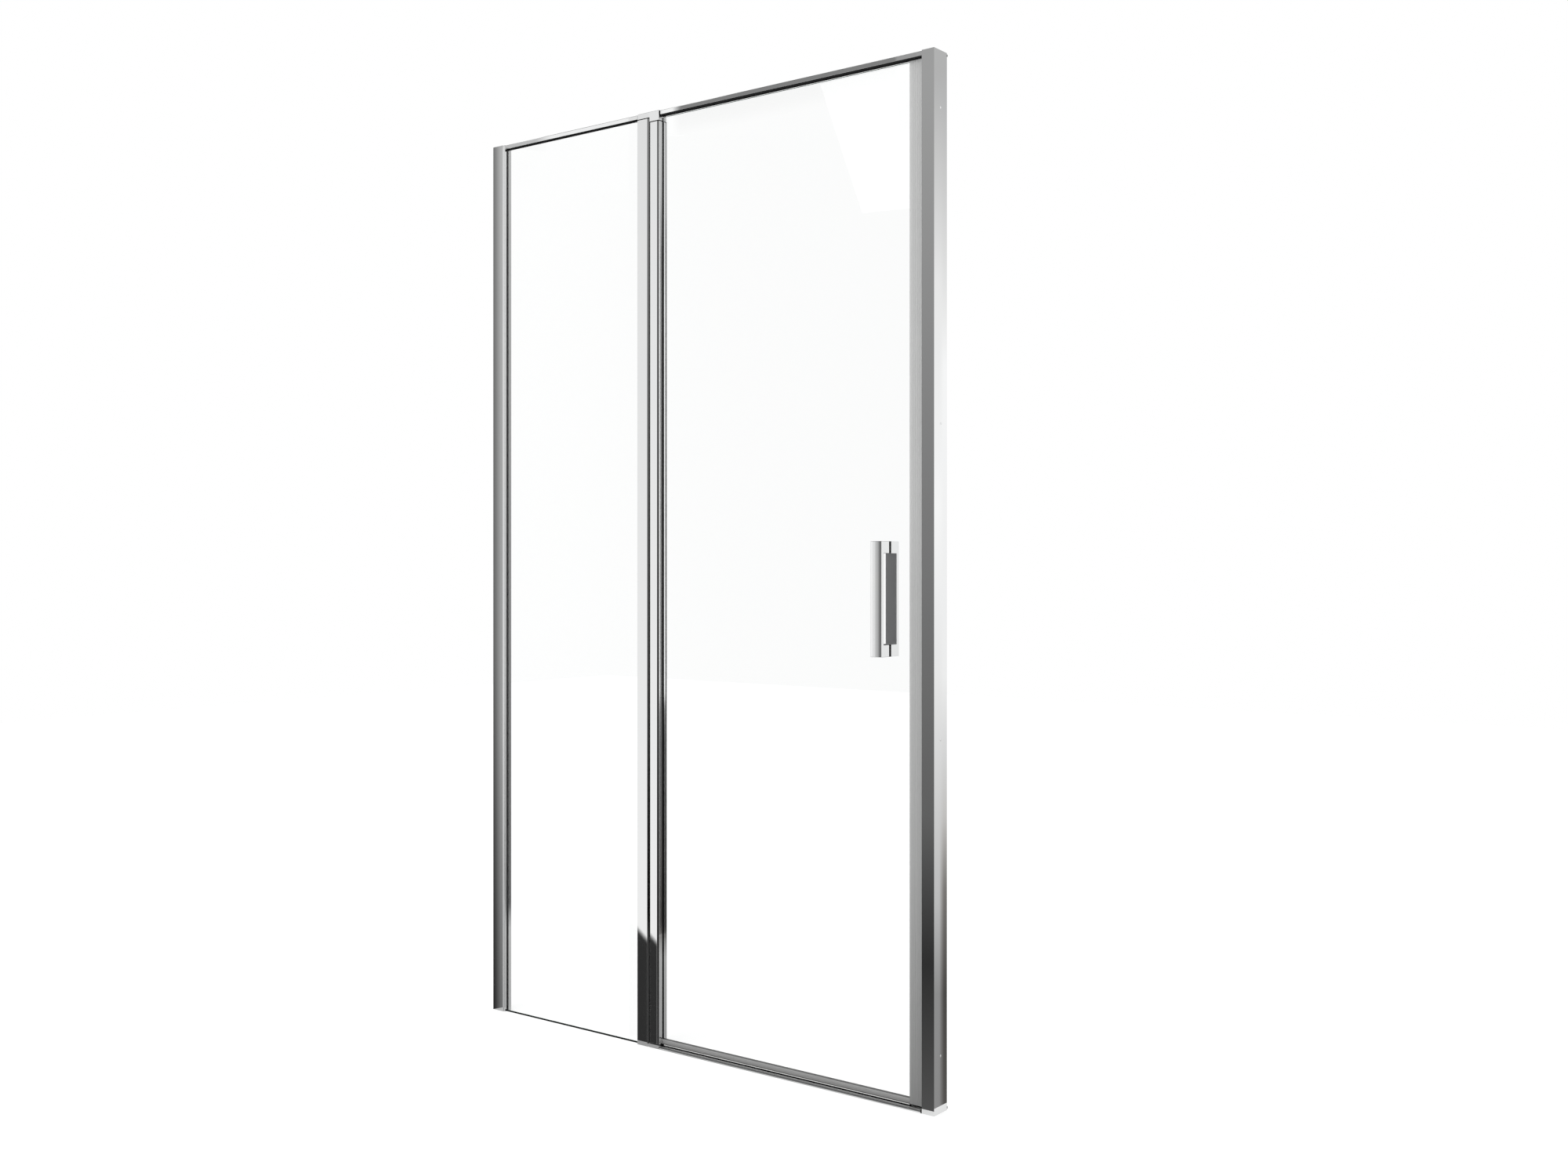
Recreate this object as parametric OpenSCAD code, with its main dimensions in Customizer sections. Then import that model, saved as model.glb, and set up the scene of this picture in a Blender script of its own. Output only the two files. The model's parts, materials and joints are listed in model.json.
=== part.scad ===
// Hinged shower door with a fixed side panel, for a 1200 mm wide tray.
// X runs along the front from the left wall, Y runs into the shower, Z is up.
// The origin is the front bottom corner of the face that is screwed to the left wall.
// All sizes are in millimetres.

/* [Frame] */
// Width from wall face to wall face
frame_w = 1180; // [1120:5:1300]
// Height from the tray to the top of the wall channels
frame_h = 1950; // [1850:5:2050]
// Thickness of the fixed glass and the door glass
glass_t = 6; // [5:0.5:6.5]
// Wall thickness of the aluminium profiles
profile_wall = 1.6; // [1.2:0.1:1.8]
// Width of the fixed panel, from the wall to the left side of its right post
fixed_w = 443.9; // [350:1:550]

/* [Wall channels] */
// Width of the left wall channel, seen from the front
left_channel_w = 32.4; // [30:0.2:36]
// Depth of the left wall channel
left_channel_d = 25; // [25:0.5:28]
// Width of the right wall channel, seen from the front
right_channel_w = 26.9; // [26:0.2:32]
// Depth of the right wall channel
right_channel_d = 43.8; // [40:0.2:50]
// Wall thickness of both wall channels
channel_wall = 1.8; // [1.5:0.1:2]
// How far the left glazing profile stands out of its channel
left_reveal = 4.7; // [3:0.1:8]
// Width of the hollow chamber in the left glazing profile
left_chamber_w = 11.2; // [10:0.1:13]
// Width of the strike profile inside the right channel
strike_w = 17.9; // [14:0.1:20]
// Radius of the holes for the wall screws
wall_hole_r = 2.5; // [2:0.1:3]
// Distance between neighbouring wall screws
wall_hole_pitch = 580; // [500:10:600]
// Radius of the shank of the clamp screws
clamp_screw_r = 2; // [1.5:0.1:2.5]
// Distance from the lowest or highest clamp screw to the end of its channel
clamp_screw_inset = 150; // [100:5:250]

/* [Posts] */
// Width of the fixed panel's right post
post_w = 32.9; // [32:0.1:38]
// Width of the door's pivot profile
pivot_profile_w = 24.2; // [24:0.1:28]
// Depth of both posts
post_d = 27.5; // [27:0.1:32]
// Width of the bevel on the right front edge of both posts
bevel_w = 5; // [2:0.5:6]
// Depth of that bevel
bevel_d = 1.2; // [0.4:0.1:1.4]
// Gap between the fixed post and the pivot profile
pivot_gap = 3.3; // [3:0.1:4]

/* [Glazing] */
// Distance from the front plane to the front of the fixed glass
fixed_glass_y = 7.1; // [6.8:0.1:8]
// Distance from the front plane to the front of the door glass
door_glass_y = 11.7; // [11.2:0.1:12]
// Thickness of the front gasket of the fixed glass
fixed_gasket_front = 0.8; // [0.6:0.1:1]
// Thickness of the rear gasket of the fixed glass
fixed_gasket_rear = 1.3; // [0.8:0.1:1.6]
// Thickness of both gaskets of the door glass
door_gasket = 0.6; // [0.4:0.1:0.8]
// Depth of the glass pocket in the profiles of the fixed panel
fixed_pocket = 14; // [10:0.5:14]
// Depth of the glass pocket in the pivot profile
door_pocket = 8.5; // [7:0.1:8.5]
// Gap between the bottom of a glass pocket and the glass
pocket_clear = 0.7; // [0.5:0.1:1.5]
// Thickness of the seal strip under the fixed glass
foot_seal_h = 2; // [1:0.1:4]

/* [Header] */
// Height of the header rail
header_h = 8.5; // [8:0.1:12]
// Depth of the header rail
header_d = 18; // [17:0.5:20]
// Wall thickness of the header rail
header_wall = 1.5; // [1:0.1:1.6]
// Drop from the top of the frame to the top of the header rail
header_drop = 1.5; // [1:0.1:3]
// How far the fixed glass goes up into the header rail
header_grip = 4; // [2:0.1:4]
// Thickness of the bars inside the header rail
joint_bar_t = 2.4; // [2:0.1:2.6]
// How far a joint bar goes into the header rail
joint_bar_reach = 20; // [15:1:40]
// Gap between the header seal and the top of the door glass
door_head_gap = 1.8; // [1.2:0.1:4]
// How far the header seal hangs below the rail
head_seal_drop = 1.2; // [0.5:0.1:2]

/* [Pivots] */
// Distance from the pivot profile's left side to the pivot axis
pivot_inset_x = 8.6; // [8.4:0.1:8.8]
// Distance from the front plane to the pivot axis
pivot_inset_y = 7.6; // [7.4:0.1:7.8]
// Radius of both pivot pins
pin_r = 3; // [2:0.1:3.5]
// Length of a pivot pin inside its bush
pin_grip = 20; // [12:1:25]
// Depth of the top pivot bracket
bracket_d = 25; // [24:0.5:27]
// Height of the bracket's arm over the fixed post
bracket_arm_h = 11.5; // [11.5:0.1:16]
// Height of the bracket's leg over the pivot profile
bracket_leg_h = 20.5; // [19:0.1:30]
// Radius of the bracket's upper rear edge
bracket_round = 6; // [2:0.5:7]
// Chamfer at the bracket's left top corner
bracket_chamfer = 1.5; // [0.5:0.1:3]
// Height of the bottom pivot block
pivot_block_h = 7.5; // [7:0.1:10]
// Thickness of the thrust washer under the door
washer_t = 0.6; // [0.4:0.1:1]
// Thickness of the bush flange at each end of the pivot profile
bush_flange_t = 1.2; // [0.8:0.1:2]
// Depth of the bushes and spigots inside the profiles
spigot_h = 28; // [26:1:40]

/* [Door seals] */
// Height of the clear strip over the door's bottom edge
drip_seal_h = 11.6; // [8:0.1:16]
// Distance from the tray to the lowest edge of the drip seal
drip_seal_z = 8.4; // [8:0.1:12]
// Wall thickness of the door's clear seals
seal_wall = 1.2; // [0.8:0.1:1.6]
// How far the door's clear edge seal covers the glass
edge_seal_cover = 8.4; // [6:0.1:12]
// Width of the edge seal beyond the glass
edge_seal_nose = 24; // [18:0.1:30]
// Gap between the closed edge seal and the right channel
strike_gap = 1; // [0.9:0.1:2]
// Width of the magnet strips
magnet_w = 8; // [6:0.1:9]
// Thickness of the magnet strips
magnet_t = 2.2; // [1.5:0.1:2.5]

/* [Handle] */
// Width of the handle
handle_w = 24.8; // [20:0.2:30]
// Height of the handle
handle_h = 216; // [180:2:300]
// Distance from the tray to the bottom of the handle
handle_z = 834; // [700:2:1000]
// Distance from the right edge of the glass to the handle
handle_inset = 53.7; // [40:0.1:80]
// Thickness of the grip at its long edges
grip_t = 7.5; // [5:0.1:9]
// How far the middle of the grip bulges beyond its long edges
grip_crown = 1.7; // [0.5:0.1:3]
// Distance from the glass to the long edges of the grip's outer face
handle_reach = 27.1; // [26:0.1:40]
// Height of the blocks that carry the grip
handle_foot_h = 22.5; // [20:0.5:30]
// Thickness of the pads between the handle and the glass
handle_pad_t = 1.5; // [1:0.1:2]
// Radius of the handle bolts
handle_bolt_r = 3; // [2:0.1:3]
// Radius of the holes through the glass
glass_hole_r = 6; // [5.5:0.1:7]

/* [Threshold] */
// Height of the threshold bar
threshold_h = 5; // [3:0.1:6]
// Depth of the threshold bar
threshold_d = 22; // [18:0.5:30]
// Length of the threshold's left end cap
threshold_cap_left = 34; // [20:1:60]
// Length of the threshold's right end cap
threshold_cap_right = 27; // [20:1:60]
// Gap between the threshold and the right channel
threshold_gap = 3; // [1:0.1:5]

/* [Hidden] */
$fn = 48;

// Clearances
running_fit = 0.05;
screw_fit = 0.05;
slide_gap = 0.2;
swing_gap = 0.3;
edge_gap = 0.5;
cut = 1;

// Gaps that show, or that let pieces swing past each other
leg_gap = 1.2;
header_joint_gap = 1.5;
seal_head_gap = 0.8;
strike_inset = 1;

// Screws, pins and inner pieces
screw_head_h = 2;
clamp_screw_reach = 5;
joint_screw_r = 1.5;
joint_screw_head_r = 2.6;
joint_screw_inset = 10;
bracket_screw_tip = post_d / 2;
pin_cover = 4;
pin_seat_z = 2.5;
washer_rim = 2.2;
cap_t = 1.4;
cap_peg_h = 10;
pad_t = 1;
bolt_cover = 9;
bolt_head_h = 4;
bolt_head_rim = 2.1;
bolt_cap_recess = 0.5;

// Shapes of edges
arc_steps = 8;
threshold_nose = 9;
threshold_lip_h = 1.5;
threshold_back_chamfer = 2;
threshold_cap_rise = 0.5;
magnet_nose = 1.2;
bracket_back_rise = 3.1;
drip_foot_h = 3.6;

// Places along X
left_x = left_channel_w + left_reveal;
post_x = fixed_w;
post_right = post_x + post_w;
pivot_x0 = post_right + pivot_gap;
pivot_x1 = pivot_x0 + pivot_profile_w;
pivot_x = pivot_x0 + pivot_inset_x;
right_x = frame_w - right_channel_w;
seal_tip = right_x - strike_gap;
glass_right = seal_tip - edge_seal_nose;
handle_x1 = glass_right - handle_inset;
handle_x0 = handle_x1 - handle_w;
handle_mid = handle_x0 + handle_w / 2;
bracket_leg_x = post_right + leg_gap;
bracket_right = pivot_x1 + edge_gap;
right_header_x = bracket_right + header_joint_gap;
threshold_x0 = pivot_x1 + edge_gap;
threshold_x1 = right_x - threshold_gap;

// Places along Y
fixed_glass_back = fixed_glass_y + glass_t;
door_glass_back = door_glass_y + glass_t;
fixed_slot_y0 = fixed_glass_y - fixed_gasket_front;
fixed_slot_y1 = fixed_glass_back + fixed_gasket_rear;
door_slot_y0 = door_glass_y - door_gasket;
door_slot_y1 = door_glass_back + door_gasket;
door_mid_y = door_glass_y + glass_t / 2;
pivot_y = pivot_inset_y;

// Places along Z
header_top = frame_h - header_drop;
header_z = header_top - header_h;
header_in = header_top - header_wall;
fixed_glass_top = header_z + header_grip;
arm_z = frame_h - bracket_arm_h;
leg_z = frame_h - bracket_leg_h;
fixed_post_top = arm_z - pad_t;
profile_top = leg_z - swing_gap - bush_flange_t;
profile_z = pivot_block_h + washer_t + slide_gap + bush_flange_t;
head_seal_z = header_z - head_seal_drop;
door_glass_top = head_seal_z - door_head_gap;
door_seal_top = head_seal_z - seal_head_gap;
door_glass_z = drip_seal_z + drip_foot_h;
bar_z = header_in - slide_gap - joint_bar_t;
pin_top = bar_z - pin_cover;
handle_hole_z = [handle_z + handle_foot_h / 2, handle_z + handle_h - handle_foot_h / 2];
wall_hole_z = [for (i = [-1.5 : 1 : 1.5]) frame_h / 2 + i * wall_hole_pitch];
clamp_screw_z = [clamp_screw_inset, frame_h / 2, frame_h - clamp_screw_inset];

// The glass corner beside the bracket's leg stays outside the circle that the leg's corner makes
corner_r = norm([bracket_right - pivot_x, pivot_y]);
glass_notch_x = pivot_x + corner_r + edge_gap;

// Finishes
chrome = [0.78, 0.79, 0.80];
glass_tint = [0.80, 0.90, 0.88, 0.35];
black = [0.07, 0.07, 0.07];
clear_seal = [0.70, 0.71, 0.71, 0.8];
steel = [0.62, 0.63, 0.65];
magnet_grey = [0.22, 0.21, 0.20];

// A block between two opposite corners
module block(from, to) {
    translate(from) cube(to - from);
}

// A plan outline raised between two heights
module upright(z0, z1) {
    translate([0, 0, z0]) linear_extrude(height = z1 - z0) children();
}

// A side outline, given as depth and height, drawn out along the front
module along_front(x0, x1) {
    translate([x0, 0, 0]) rotate([90, 0, 90]) linear_extrude(height = x1 - x0) children();
}

// A front outline, given as width and height, drawn out in depth
module in_depth(y0, y1) {
    translate([0, y1, 0]) rotate([90, 0, 0]) linear_extrude(height = y1 - y0) children();
}

// A rectangle between two opposite corners
module area(from, to) {
    translate(from) square(to - from);
}

// A round bar that runs in depth
module rod_in_depth(x, z, r, y0, y1) {
    translate([x, y0, z]) rotate([-90, 0, 0]) cylinder(r = r, h = y1 - y0);
}

// A screw that goes in from behind, with its head on the outside
module screw_from_behind(x, z, r, tip_y, head_y) {
    rod_in_depth(x, z, r, tip_y, head_y + screw_head_h / 2);
    rod_in_depth(x, z, 2 * r, head_y, head_y + screw_head_h);
}

// The plan of a channel that is open on one side
module channel_plan(w, d, wall) {
    difference() {
        square([w, d]);
        translate([wall, wall]) square([w, d - 2 * wall]);
    }
}

// The outer plan of a post whose right front edge is bevelled
module post_plan(x0, w) {
    translate([x0, 0]) polygon([
        [0, 0], [w - bevel_w, 0], [w, bevel_d], [w, post_d], [0, post_d]
    ]);
}

// The side outline of the threshold, with a rounded front edge
module threshold_side(rise) {
    top = threshold_h + rise;
    polygon(concat(
        [[0, 0]],
        [for (i = [0 : arc_steps]) let (a = 180 - 90 * i / arc_steps)
            [threshold_nose * (1 + cos(a)), threshold_lip_h + (top - threshold_lip_h) * sin(a)]],
        [[threshold_d - threshold_back_chamfer, top],
            [threshold_d, top - threshold_back_chamfer], [threshold_d, 0]]
    ));
}

// The side outline of the header rail, open underneath
module header_side() {
    difference() {
        area([0, header_z], [header_d, header_top]);
        area([header_wall, header_z - cut], [header_d - header_wall, header_in]);
    }
}

module left_wall_channel() {
    color(chrome) difference() {
        upright(0, frame_h) channel_plan(left_channel_w, left_channel_d, channel_wall);
        for (z = wall_hole_z)
            translate([-cut, left_channel_d / 2, z]) rotate([0, 90, 0])
                cylinder(r = wall_hole_r, h = channel_wall + 2 * cut);
        for (z = clamp_screw_z)
            rod_in_depth(left_clamp_x, z, clamp_screw_r + screw_fit,
                left_channel_d - channel_wall - cut, left_channel_d + cut);
    }
}

// The left glazing profile slides in the wall channel to take up an uneven wall
left_profile_x = left_x - fixed_pocket - left_chamber_w - 2 * profile_wall;
left_profile_y0 = channel_wall + slide_gap;
left_profile_y1 = left_channel_d - channel_wall - slide_gap;
left_clamp_x = left_profile_x + profile_wall + left_chamber_w / 2;
module left_glazing_profile() {
    pocket_x = left_x - fixed_pocket;
    color(chrome) difference() {
        upright(0, header_top) difference() {
            area([left_profile_x, left_profile_y0], [left_x, left_profile_y1]);
            area([left_profile_x + profile_wall, left_profile_y0 + profile_wall],
                [pocket_x - profile_wall, left_profile_y1 - profile_wall]);
            area([pocket_x, fixed_slot_y0], [left_x + cut, fixed_slot_y1]);
            area([pocket_x, fixed_slot_y1 + profile_wall],
                [left_x - profile_wall, left_profile_y1 - profile_wall]);
        }
        for (z = clamp_screw_z)
            rod_in_depth(left_clamp_x, z, clamp_screw_r + screw_fit,
                left_profile_y1 - profile_wall - cut, left_profile_y1 + cut);
    }
}

// The pair of gasket strips on both sides of a glass edge
module gasket_pair(x0, x1, y_front, y_glass, y_glass_back, y_back, z0, z1) {
    block([x0, y_front, z0], [x1, y_glass, z1]);
    block([x0, y_glass_back, z0], [x1, y_back, z1]);
}

module left_glazing_gasket() {
    color(black) gasket_pair(left_x - fixed_pocket + slide_gap, left_x,
        fixed_slot_y0, fixed_glass_y, fixed_glass_back, fixed_slot_y1,
        foot_seal_h, header_z - slide_gap);
}

module left_post_cap() {
    color(chrome) union() {
        block([channel_wall, channel_wall, frame_h - cap_t],
            [left_x, left_channel_d - channel_wall, frame_h]);
        block([left_profile_x + profile_wall + slide_gap,
                left_profile_y0 + profile_wall + slide_gap, frame_h - cap_t - cap_peg_h],
            [left_x - fixed_pocket - profile_wall - slide_gap,
                left_profile_y1 - profile_wall - slide_gap, frame_h - cap_t + cut / 2]);
    }
}

module left_clamp_screws() {
    color(steel) for (z = clamp_screw_z)
        screw_from_behind(left_clamp_x, z, clamp_screw_r,
            left_profile_y1 - clamp_screw_reach, left_channel_d);
}

// A flat tongue over the glass ties the header rail to the left glazing profile
module left_header_tongue() {
    color(steel) block(
        [left_x - fixed_pocket + slide_gap, fixed_slot_y0 + slide_gap, bar_z],
        [left_x + joint_bar_reach, fixed_slot_y1 - slide_gap, bar_z + joint_bar_t]);
}

module fixed_glass() {
    color(glass_tint) block(
        [left_x - fixed_pocket + pocket_clear, fixed_glass_y, foot_seal_h],
        [post_x + fixed_pocket - pocket_clear, fixed_glass_back, fixed_glass_top]);
}

module fixed_glass_foot_seal() {
    color(black) block(
        [left_x - fixed_pocket + pocket_clear, fixed_slot_y0 + slide_gap, 0],
        [post_x + fixed_pocket - pocket_clear, fixed_slot_y1 - slide_gap, foot_seal_h]);
}

post_chamber_x0 = post_x + fixed_pocket + profile_wall;
post_chamber_x1 = post_right - profile_wall;
post_chamber_y0 = bevel_d + profile_wall;
post_chamber_y1 = post_d - profile_wall;
bracket_screw_x = (post_chamber_x0 + post_chamber_x1) / 2;
bracket_screw_z = [spigot_h / 2, fixed_post_top - spigot_h / 2];
module fixed_post() {
    color(chrome) difference() {
        upright(0, fixed_post_top) difference() {
            post_plan(post_x, post_w);
            area([post_x - cut, fixed_slot_y0], [post_x + fixed_pocket, fixed_slot_y1]);
            area([post_chamber_x0, post_chamber_y0], [post_chamber_x1, post_chamber_y1]);
            area([post_x + profile_wall, fixed_slot_y1 + profile_wall],
                [post_x + fixed_pocket, post_chamber_y1]);
            area([post_x + profile_wall, profile_wall],
                [post_x + fixed_pocket, fixed_slot_y0 - profile_wall]);
        }
        block([post_chamber_x1 - cut, post_chamber_y0 + slide_gap, -cut],
            [post_right + cut, post_chamber_y1 - slide_gap, pivot_block_h + slide_gap]);
        for (z = bracket_screw_z)
            rod_in_depth(bracket_screw_x, z, clamp_screw_r + screw_fit,
                post_chamber_y1 - cut, post_d + cut);
    }
}

module fixed_post_gasket() {
    color(black) gasket_pair(post_x, post_x + fixed_pocket - slide_gap,
        fixed_slot_y0, fixed_glass_y, fixed_glass_back, fixed_slot_y1,
        foot_seal_h, fixed_post_top);
}

// This strip closes the gap behind the pivot, where the turning profile never reaches
gap_seal_y = pivot_y + norm([pivot_inset_x, pivot_inset_y]) - slide_gap;
module pivot_gap_seal() {
    color(black) block([post_right, gap_seal_y, profile_z],
        [pivot_x0 - swing_gap, post_d - profile_wall, profile_top]);
}

module left_header_rail() {
    color(chrome) difference() {
        along_front(left_x, post_x) header_side();
        header_joint_holes([post_x - joint_screw_inset]);
    }
}

module left_header_gasket() {
    color(black) along_front(left_x, post_x) union() {
        area([header_wall, header_z], [fixed_glass_y, fixed_glass_top]);
        area([fixed_glass_back, header_z], [header_d - header_wall, fixed_glass_top]);
    }
}

// A flat bar through the bracket carries both lengths of header rail
bar_y0 = header_wall + slide_gap;
bar_y1 = header_d - header_wall - slide_gap;
joint_screw_y = header_d / 2;
module header_joint_bar() {
    color(steel) difference() {
        block([post_x - joint_bar_reach, bar_y0, bar_z],
            [right_header_x + joint_bar_reach, bar_y1, bar_z + joint_bar_t]);
        header_joint_holes([post_x - joint_screw_inset, right_header_x + joint_screw_inset]);
    }
}

module header_joint_holes(places) {
    for (x = places)
        translate([x, joint_screw_y, bar_z - cut])
            cylinder(r = joint_screw_r + screw_fit, h = header_top - bar_z + 2 * cut);
}

module header_joint_screws() {
    color(steel)
    for (x = [post_x - joint_screw_inset, right_header_x + joint_screw_inset])
        translate([x, joint_screw_y, 0]) {
            translate([0, 0, bar_z]) cylinder(r = joint_screw_r, h = header_top - bar_z + cap_t / 2);
            translate([0, 0, header_top]) cylinder(r = joint_screw_head_r, h = cap_t);
        }
}

module right_header_rail() {
    color(chrome) difference() {
        along_front(right_header_x, right_x) header_side();
        header_joint_holes([right_header_x + joint_screw_inset]);
    }
}

module right_header_seal() {
    color(black) along_front(right_header_x, right_x)
        area([header_wall, head_seal_z], [header_d - header_wall, bar_z - slide_gap]);
}

// A thin pad between the bracket and the open top of the fixed post
module top_bracket_pad() {
    color(black) difference() {
        upright(fixed_post_top, arm_z) post_plan(post_x, post_w);
        block([post_x - cut, fixed_slot_y0, fixed_post_top - cut],
            [post_x + fixed_pocket, fixed_slot_y1, arm_z + cut]);
        block([post_chamber_x0, post_chamber_y0, fixed_post_top - cut],
            [post_chamber_x1, post_chamber_y1, arm_z + cut]);
    }
}

module spigot(z0, z1) {
    block([post_chamber_x0 + slide_gap, post_chamber_y0 + slide_gap, z0],
        [post_chamber_x1 - slide_gap, post_chamber_y1 - slide_gap, z1]);
}

// An L seen from the front: an arm over the fixed post and a leg over the pivot profile
module bracket_front() {
    polygon([
        [post_x, arm_z], [post_x, frame_h - bracket_chamfer], [post_x + bracket_chamfer, frame_h],
        [bracket_right, frame_h], [bracket_right, leg_z], [bracket_leg_x, leg_z],
        [bracket_leg_x, arm_z]
    ]);
}

// The bracket from the side: full height over the header rail, then a rounded lower back
module bracket_side() {
    back_top = header_z + bracket_back_rise;
    polygon(concat(
        [[0, leg_z - cut], [0, frame_h + cut], [header_d, frame_h + cut], [header_d, back_top]],
        [for (i = [0 : arc_steps]) let (a = 90 - 90 * i / arc_steps)
            [bracket_d - bracket_round * (1 - cos(a)), back_top - bracket_round * (1 - sin(a))]],
        [[bracket_d, leg_z - cut]]
    ));
}

module top_pivot_bracket() {
    color(chrome) difference() {
        union() {
            intersection() {
                in_depth(0, bracket_d) bracket_front();
                along_front(post_x, bracket_right) bracket_side();
            }
            intersection() {
                spigot(fixed_post_top - spigot_h, arm_z + cut);
                upright(0, frame_h) area([post_x, 0], [bracket_leg_x, bracket_d]);
            }
        }
        block([post_x - cut, fixed_slot_y0, arm_z - cut],
            [post_x + fixed_pocket, fixed_slot_y1, fixed_glass_top + slide_gap]);
        block([post_x - cut, bar_y0 - slide_gap / 2, bar_z - slide_gap / 2],
            [bracket_right + cut, bar_y1 + slide_gap / 2, bar_z + joint_bar_t + slide_gap / 2]);
        translate([pivot_x, pivot_y, leg_z - cut])
            cylinder(r = pin_r + running_fit, h = pin_top - leg_z + cut);
        rod_in_depth(bracket_screw_x, bracket_screw_z[1], clamp_screw_r + screw_fit,
            bracket_screw_tip - slide_gap, post_d);
    }
}

module top_pivot_pin() {
    color(steel) translate([pivot_x, pivot_y, profile_top - pin_grip])
        cylinder(r = pin_r, h = pin_top - profile_top + pin_grip);
}

module bottom_pivot_block() {
    color(chrome) difference() {
        union() {
            block([bracket_leg_x, 0, 0], [pivot_x1, post_d, pivot_block_h]);
            block([post_chamber_x1 - cut, post_chamber_y0 + slide_gap * 2, 0],
                [bracket_leg_x + cut, post_chamber_y1 - slide_gap * 2, pivot_block_h]);
            spigot(0, spigot_h);
        }
        translate([pivot_x, pivot_y, pin_seat_z])
            cylinder(r = pin_r + running_fit, h = pivot_block_h);
        rod_in_depth(bracket_screw_x, bracket_screw_z[0], clamp_screw_r + screw_fit,
            bracket_screw_tip - slide_gap, post_d);
    }
}

module bottom_pivot_pin() {
    color(steel) translate([pivot_x, pivot_y, pin_seat_z])
        cylinder(r = pin_r, h = profile_z + pin_grip - pin_seat_z);
}

module bottom_thrust_washer() {
    color(black) translate([pivot_x, pivot_y, pivot_block_h]) difference() {
        cylinder(r = pin_r + washer_rim, h = washer_t);
        translate([0, 0, -cut]) cylinder(r = pin_r + running_fit, h = washer_t + 2 * cut);
    }
}

module pivot_bracket_screws() {
    color(steel) for (z = bracket_screw_z)
        screw_from_behind(bracket_screw_x, z, clamp_screw_r, bracket_screw_tip, post_d);
}

module right_wall_channel() {
    color(chrome) difference() {
        upright(0, frame_h) translate([frame_w, 0]) mirror([1, 0])
            channel_plan(right_channel_w, right_channel_d, channel_wall);
        for (z = wall_hole_z)
            translate([frame_w - channel_wall - cut, right_channel_d / 2, z]) rotate([0, 90, 0])
                cylinder(r = wall_hole_r, h = channel_wall + 2 * cut);
        for (z = clamp_screw_z)
            rod_in_depth(right_clamp_x, z, clamp_screw_r + screw_fit,
                right_channel_d - channel_wall - cut, right_channel_d + cut);
    }
}

// The strike profile stands inside the right channel and holds the strike magnet
strike_x0 = right_x + strike_inset;
strike_x1 = strike_x0 + strike_w;
strike_y0 = channel_wall + slide_gap;
strike_y1 = right_channel_d - channel_wall - slide_gap;
strike_slot_x = right_x + magnet_t + 2 * seal_wall;
strike_seal_y0 = door_mid_y - magnet_w / 2 - seal_wall;
strike_seal_y1 = door_mid_y + magnet_w / 2 + seal_wall;
right_clamp_x = (strike_slot_x + strike_x1) / 2;
strike_top = header_z - slide_gap;
module strike_profile() {
    color(chrome) difference() {
        upright(0, strike_top) difference() {
            area([strike_x0, strike_y0], [strike_x1, strike_y1]);
            area([strike_slot_x + profile_wall, strike_y0 + profile_wall],
                [strike_x1 - profile_wall, strike_y1 - profile_wall]);
            area([strike_x0 - cut, strike_seal_y0], [strike_slot_x, strike_seal_y1]);
            area([strike_x0 + profile_wall, strike_seal_y1 + profile_wall],
                [strike_slot_x + profile_wall + slide_gap, strike_y1 - profile_wall]);
        }
        for (z = clamp_screw_z)
            rod_in_depth(right_clamp_x, z, clamp_screw_r + screw_fit,
                strike_y1 - profile_wall - cut, strike_y1 + cut);
    }
}

module strike_seal() {
    color(clear_seal) upright(0, strike_top) difference() {
        area([right_x, strike_seal_y0], [strike_slot_x, strike_seal_y1]);
        area([right_x + seal_wall, door_mid_y - magnet_w / 2],
            [strike_slot_x - seal_wall, door_mid_y + magnet_w / 2]);
    }
}

module strike_magnet() {
    color(magnet_grey) block([right_x + seal_wall, door_mid_y - magnet_w / 2, 0],
        [strike_slot_x - seal_wall, door_mid_y + magnet_w / 2, strike_top]);
}

// A block above the strike profile, with a tongue that carries the end of the header rail
module right_head_block() {
    color(black) union() {
        block([right_x + slide_gap, strike_y0, header_z],
            [strike_x1, strike_y1, frame_h - cap_t]);
        block([right_x - joint_bar_reach, strike_y0, bar_z],
            [right_x + cut, bar_y1, bar_z + joint_bar_t]);
    }
}

module right_post_cap() {
    color(chrome) block([right_x, channel_wall, frame_h - cap_t],
        [frame_w - channel_wall, right_channel_d - channel_wall, frame_h]);
}

module right_clamp_screws() {
    color(steel) for (z = clamp_screw_z)
        screw_from_behind(right_clamp_x, z, clamp_screw_r,
            strike_y1 - clamp_screw_reach, right_channel_d);
}

module threshold_bar() {
    color(chrome) along_front(threshold_x0 + threshold_cap_left, threshold_x1 - threshold_cap_right)
        threshold_side(0);
}

module threshold_left_cap() {
    color(chrome) along_front(threshold_x0, threshold_x0 + threshold_cap_left)
        threshold_side(threshold_cap_rise);
}

module threshold_right_cap() {
    color(chrome) along_front(threshold_x1 - threshold_cap_right, threshold_x1)
        threshold_side(threshold_cap_rise);
}

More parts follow.
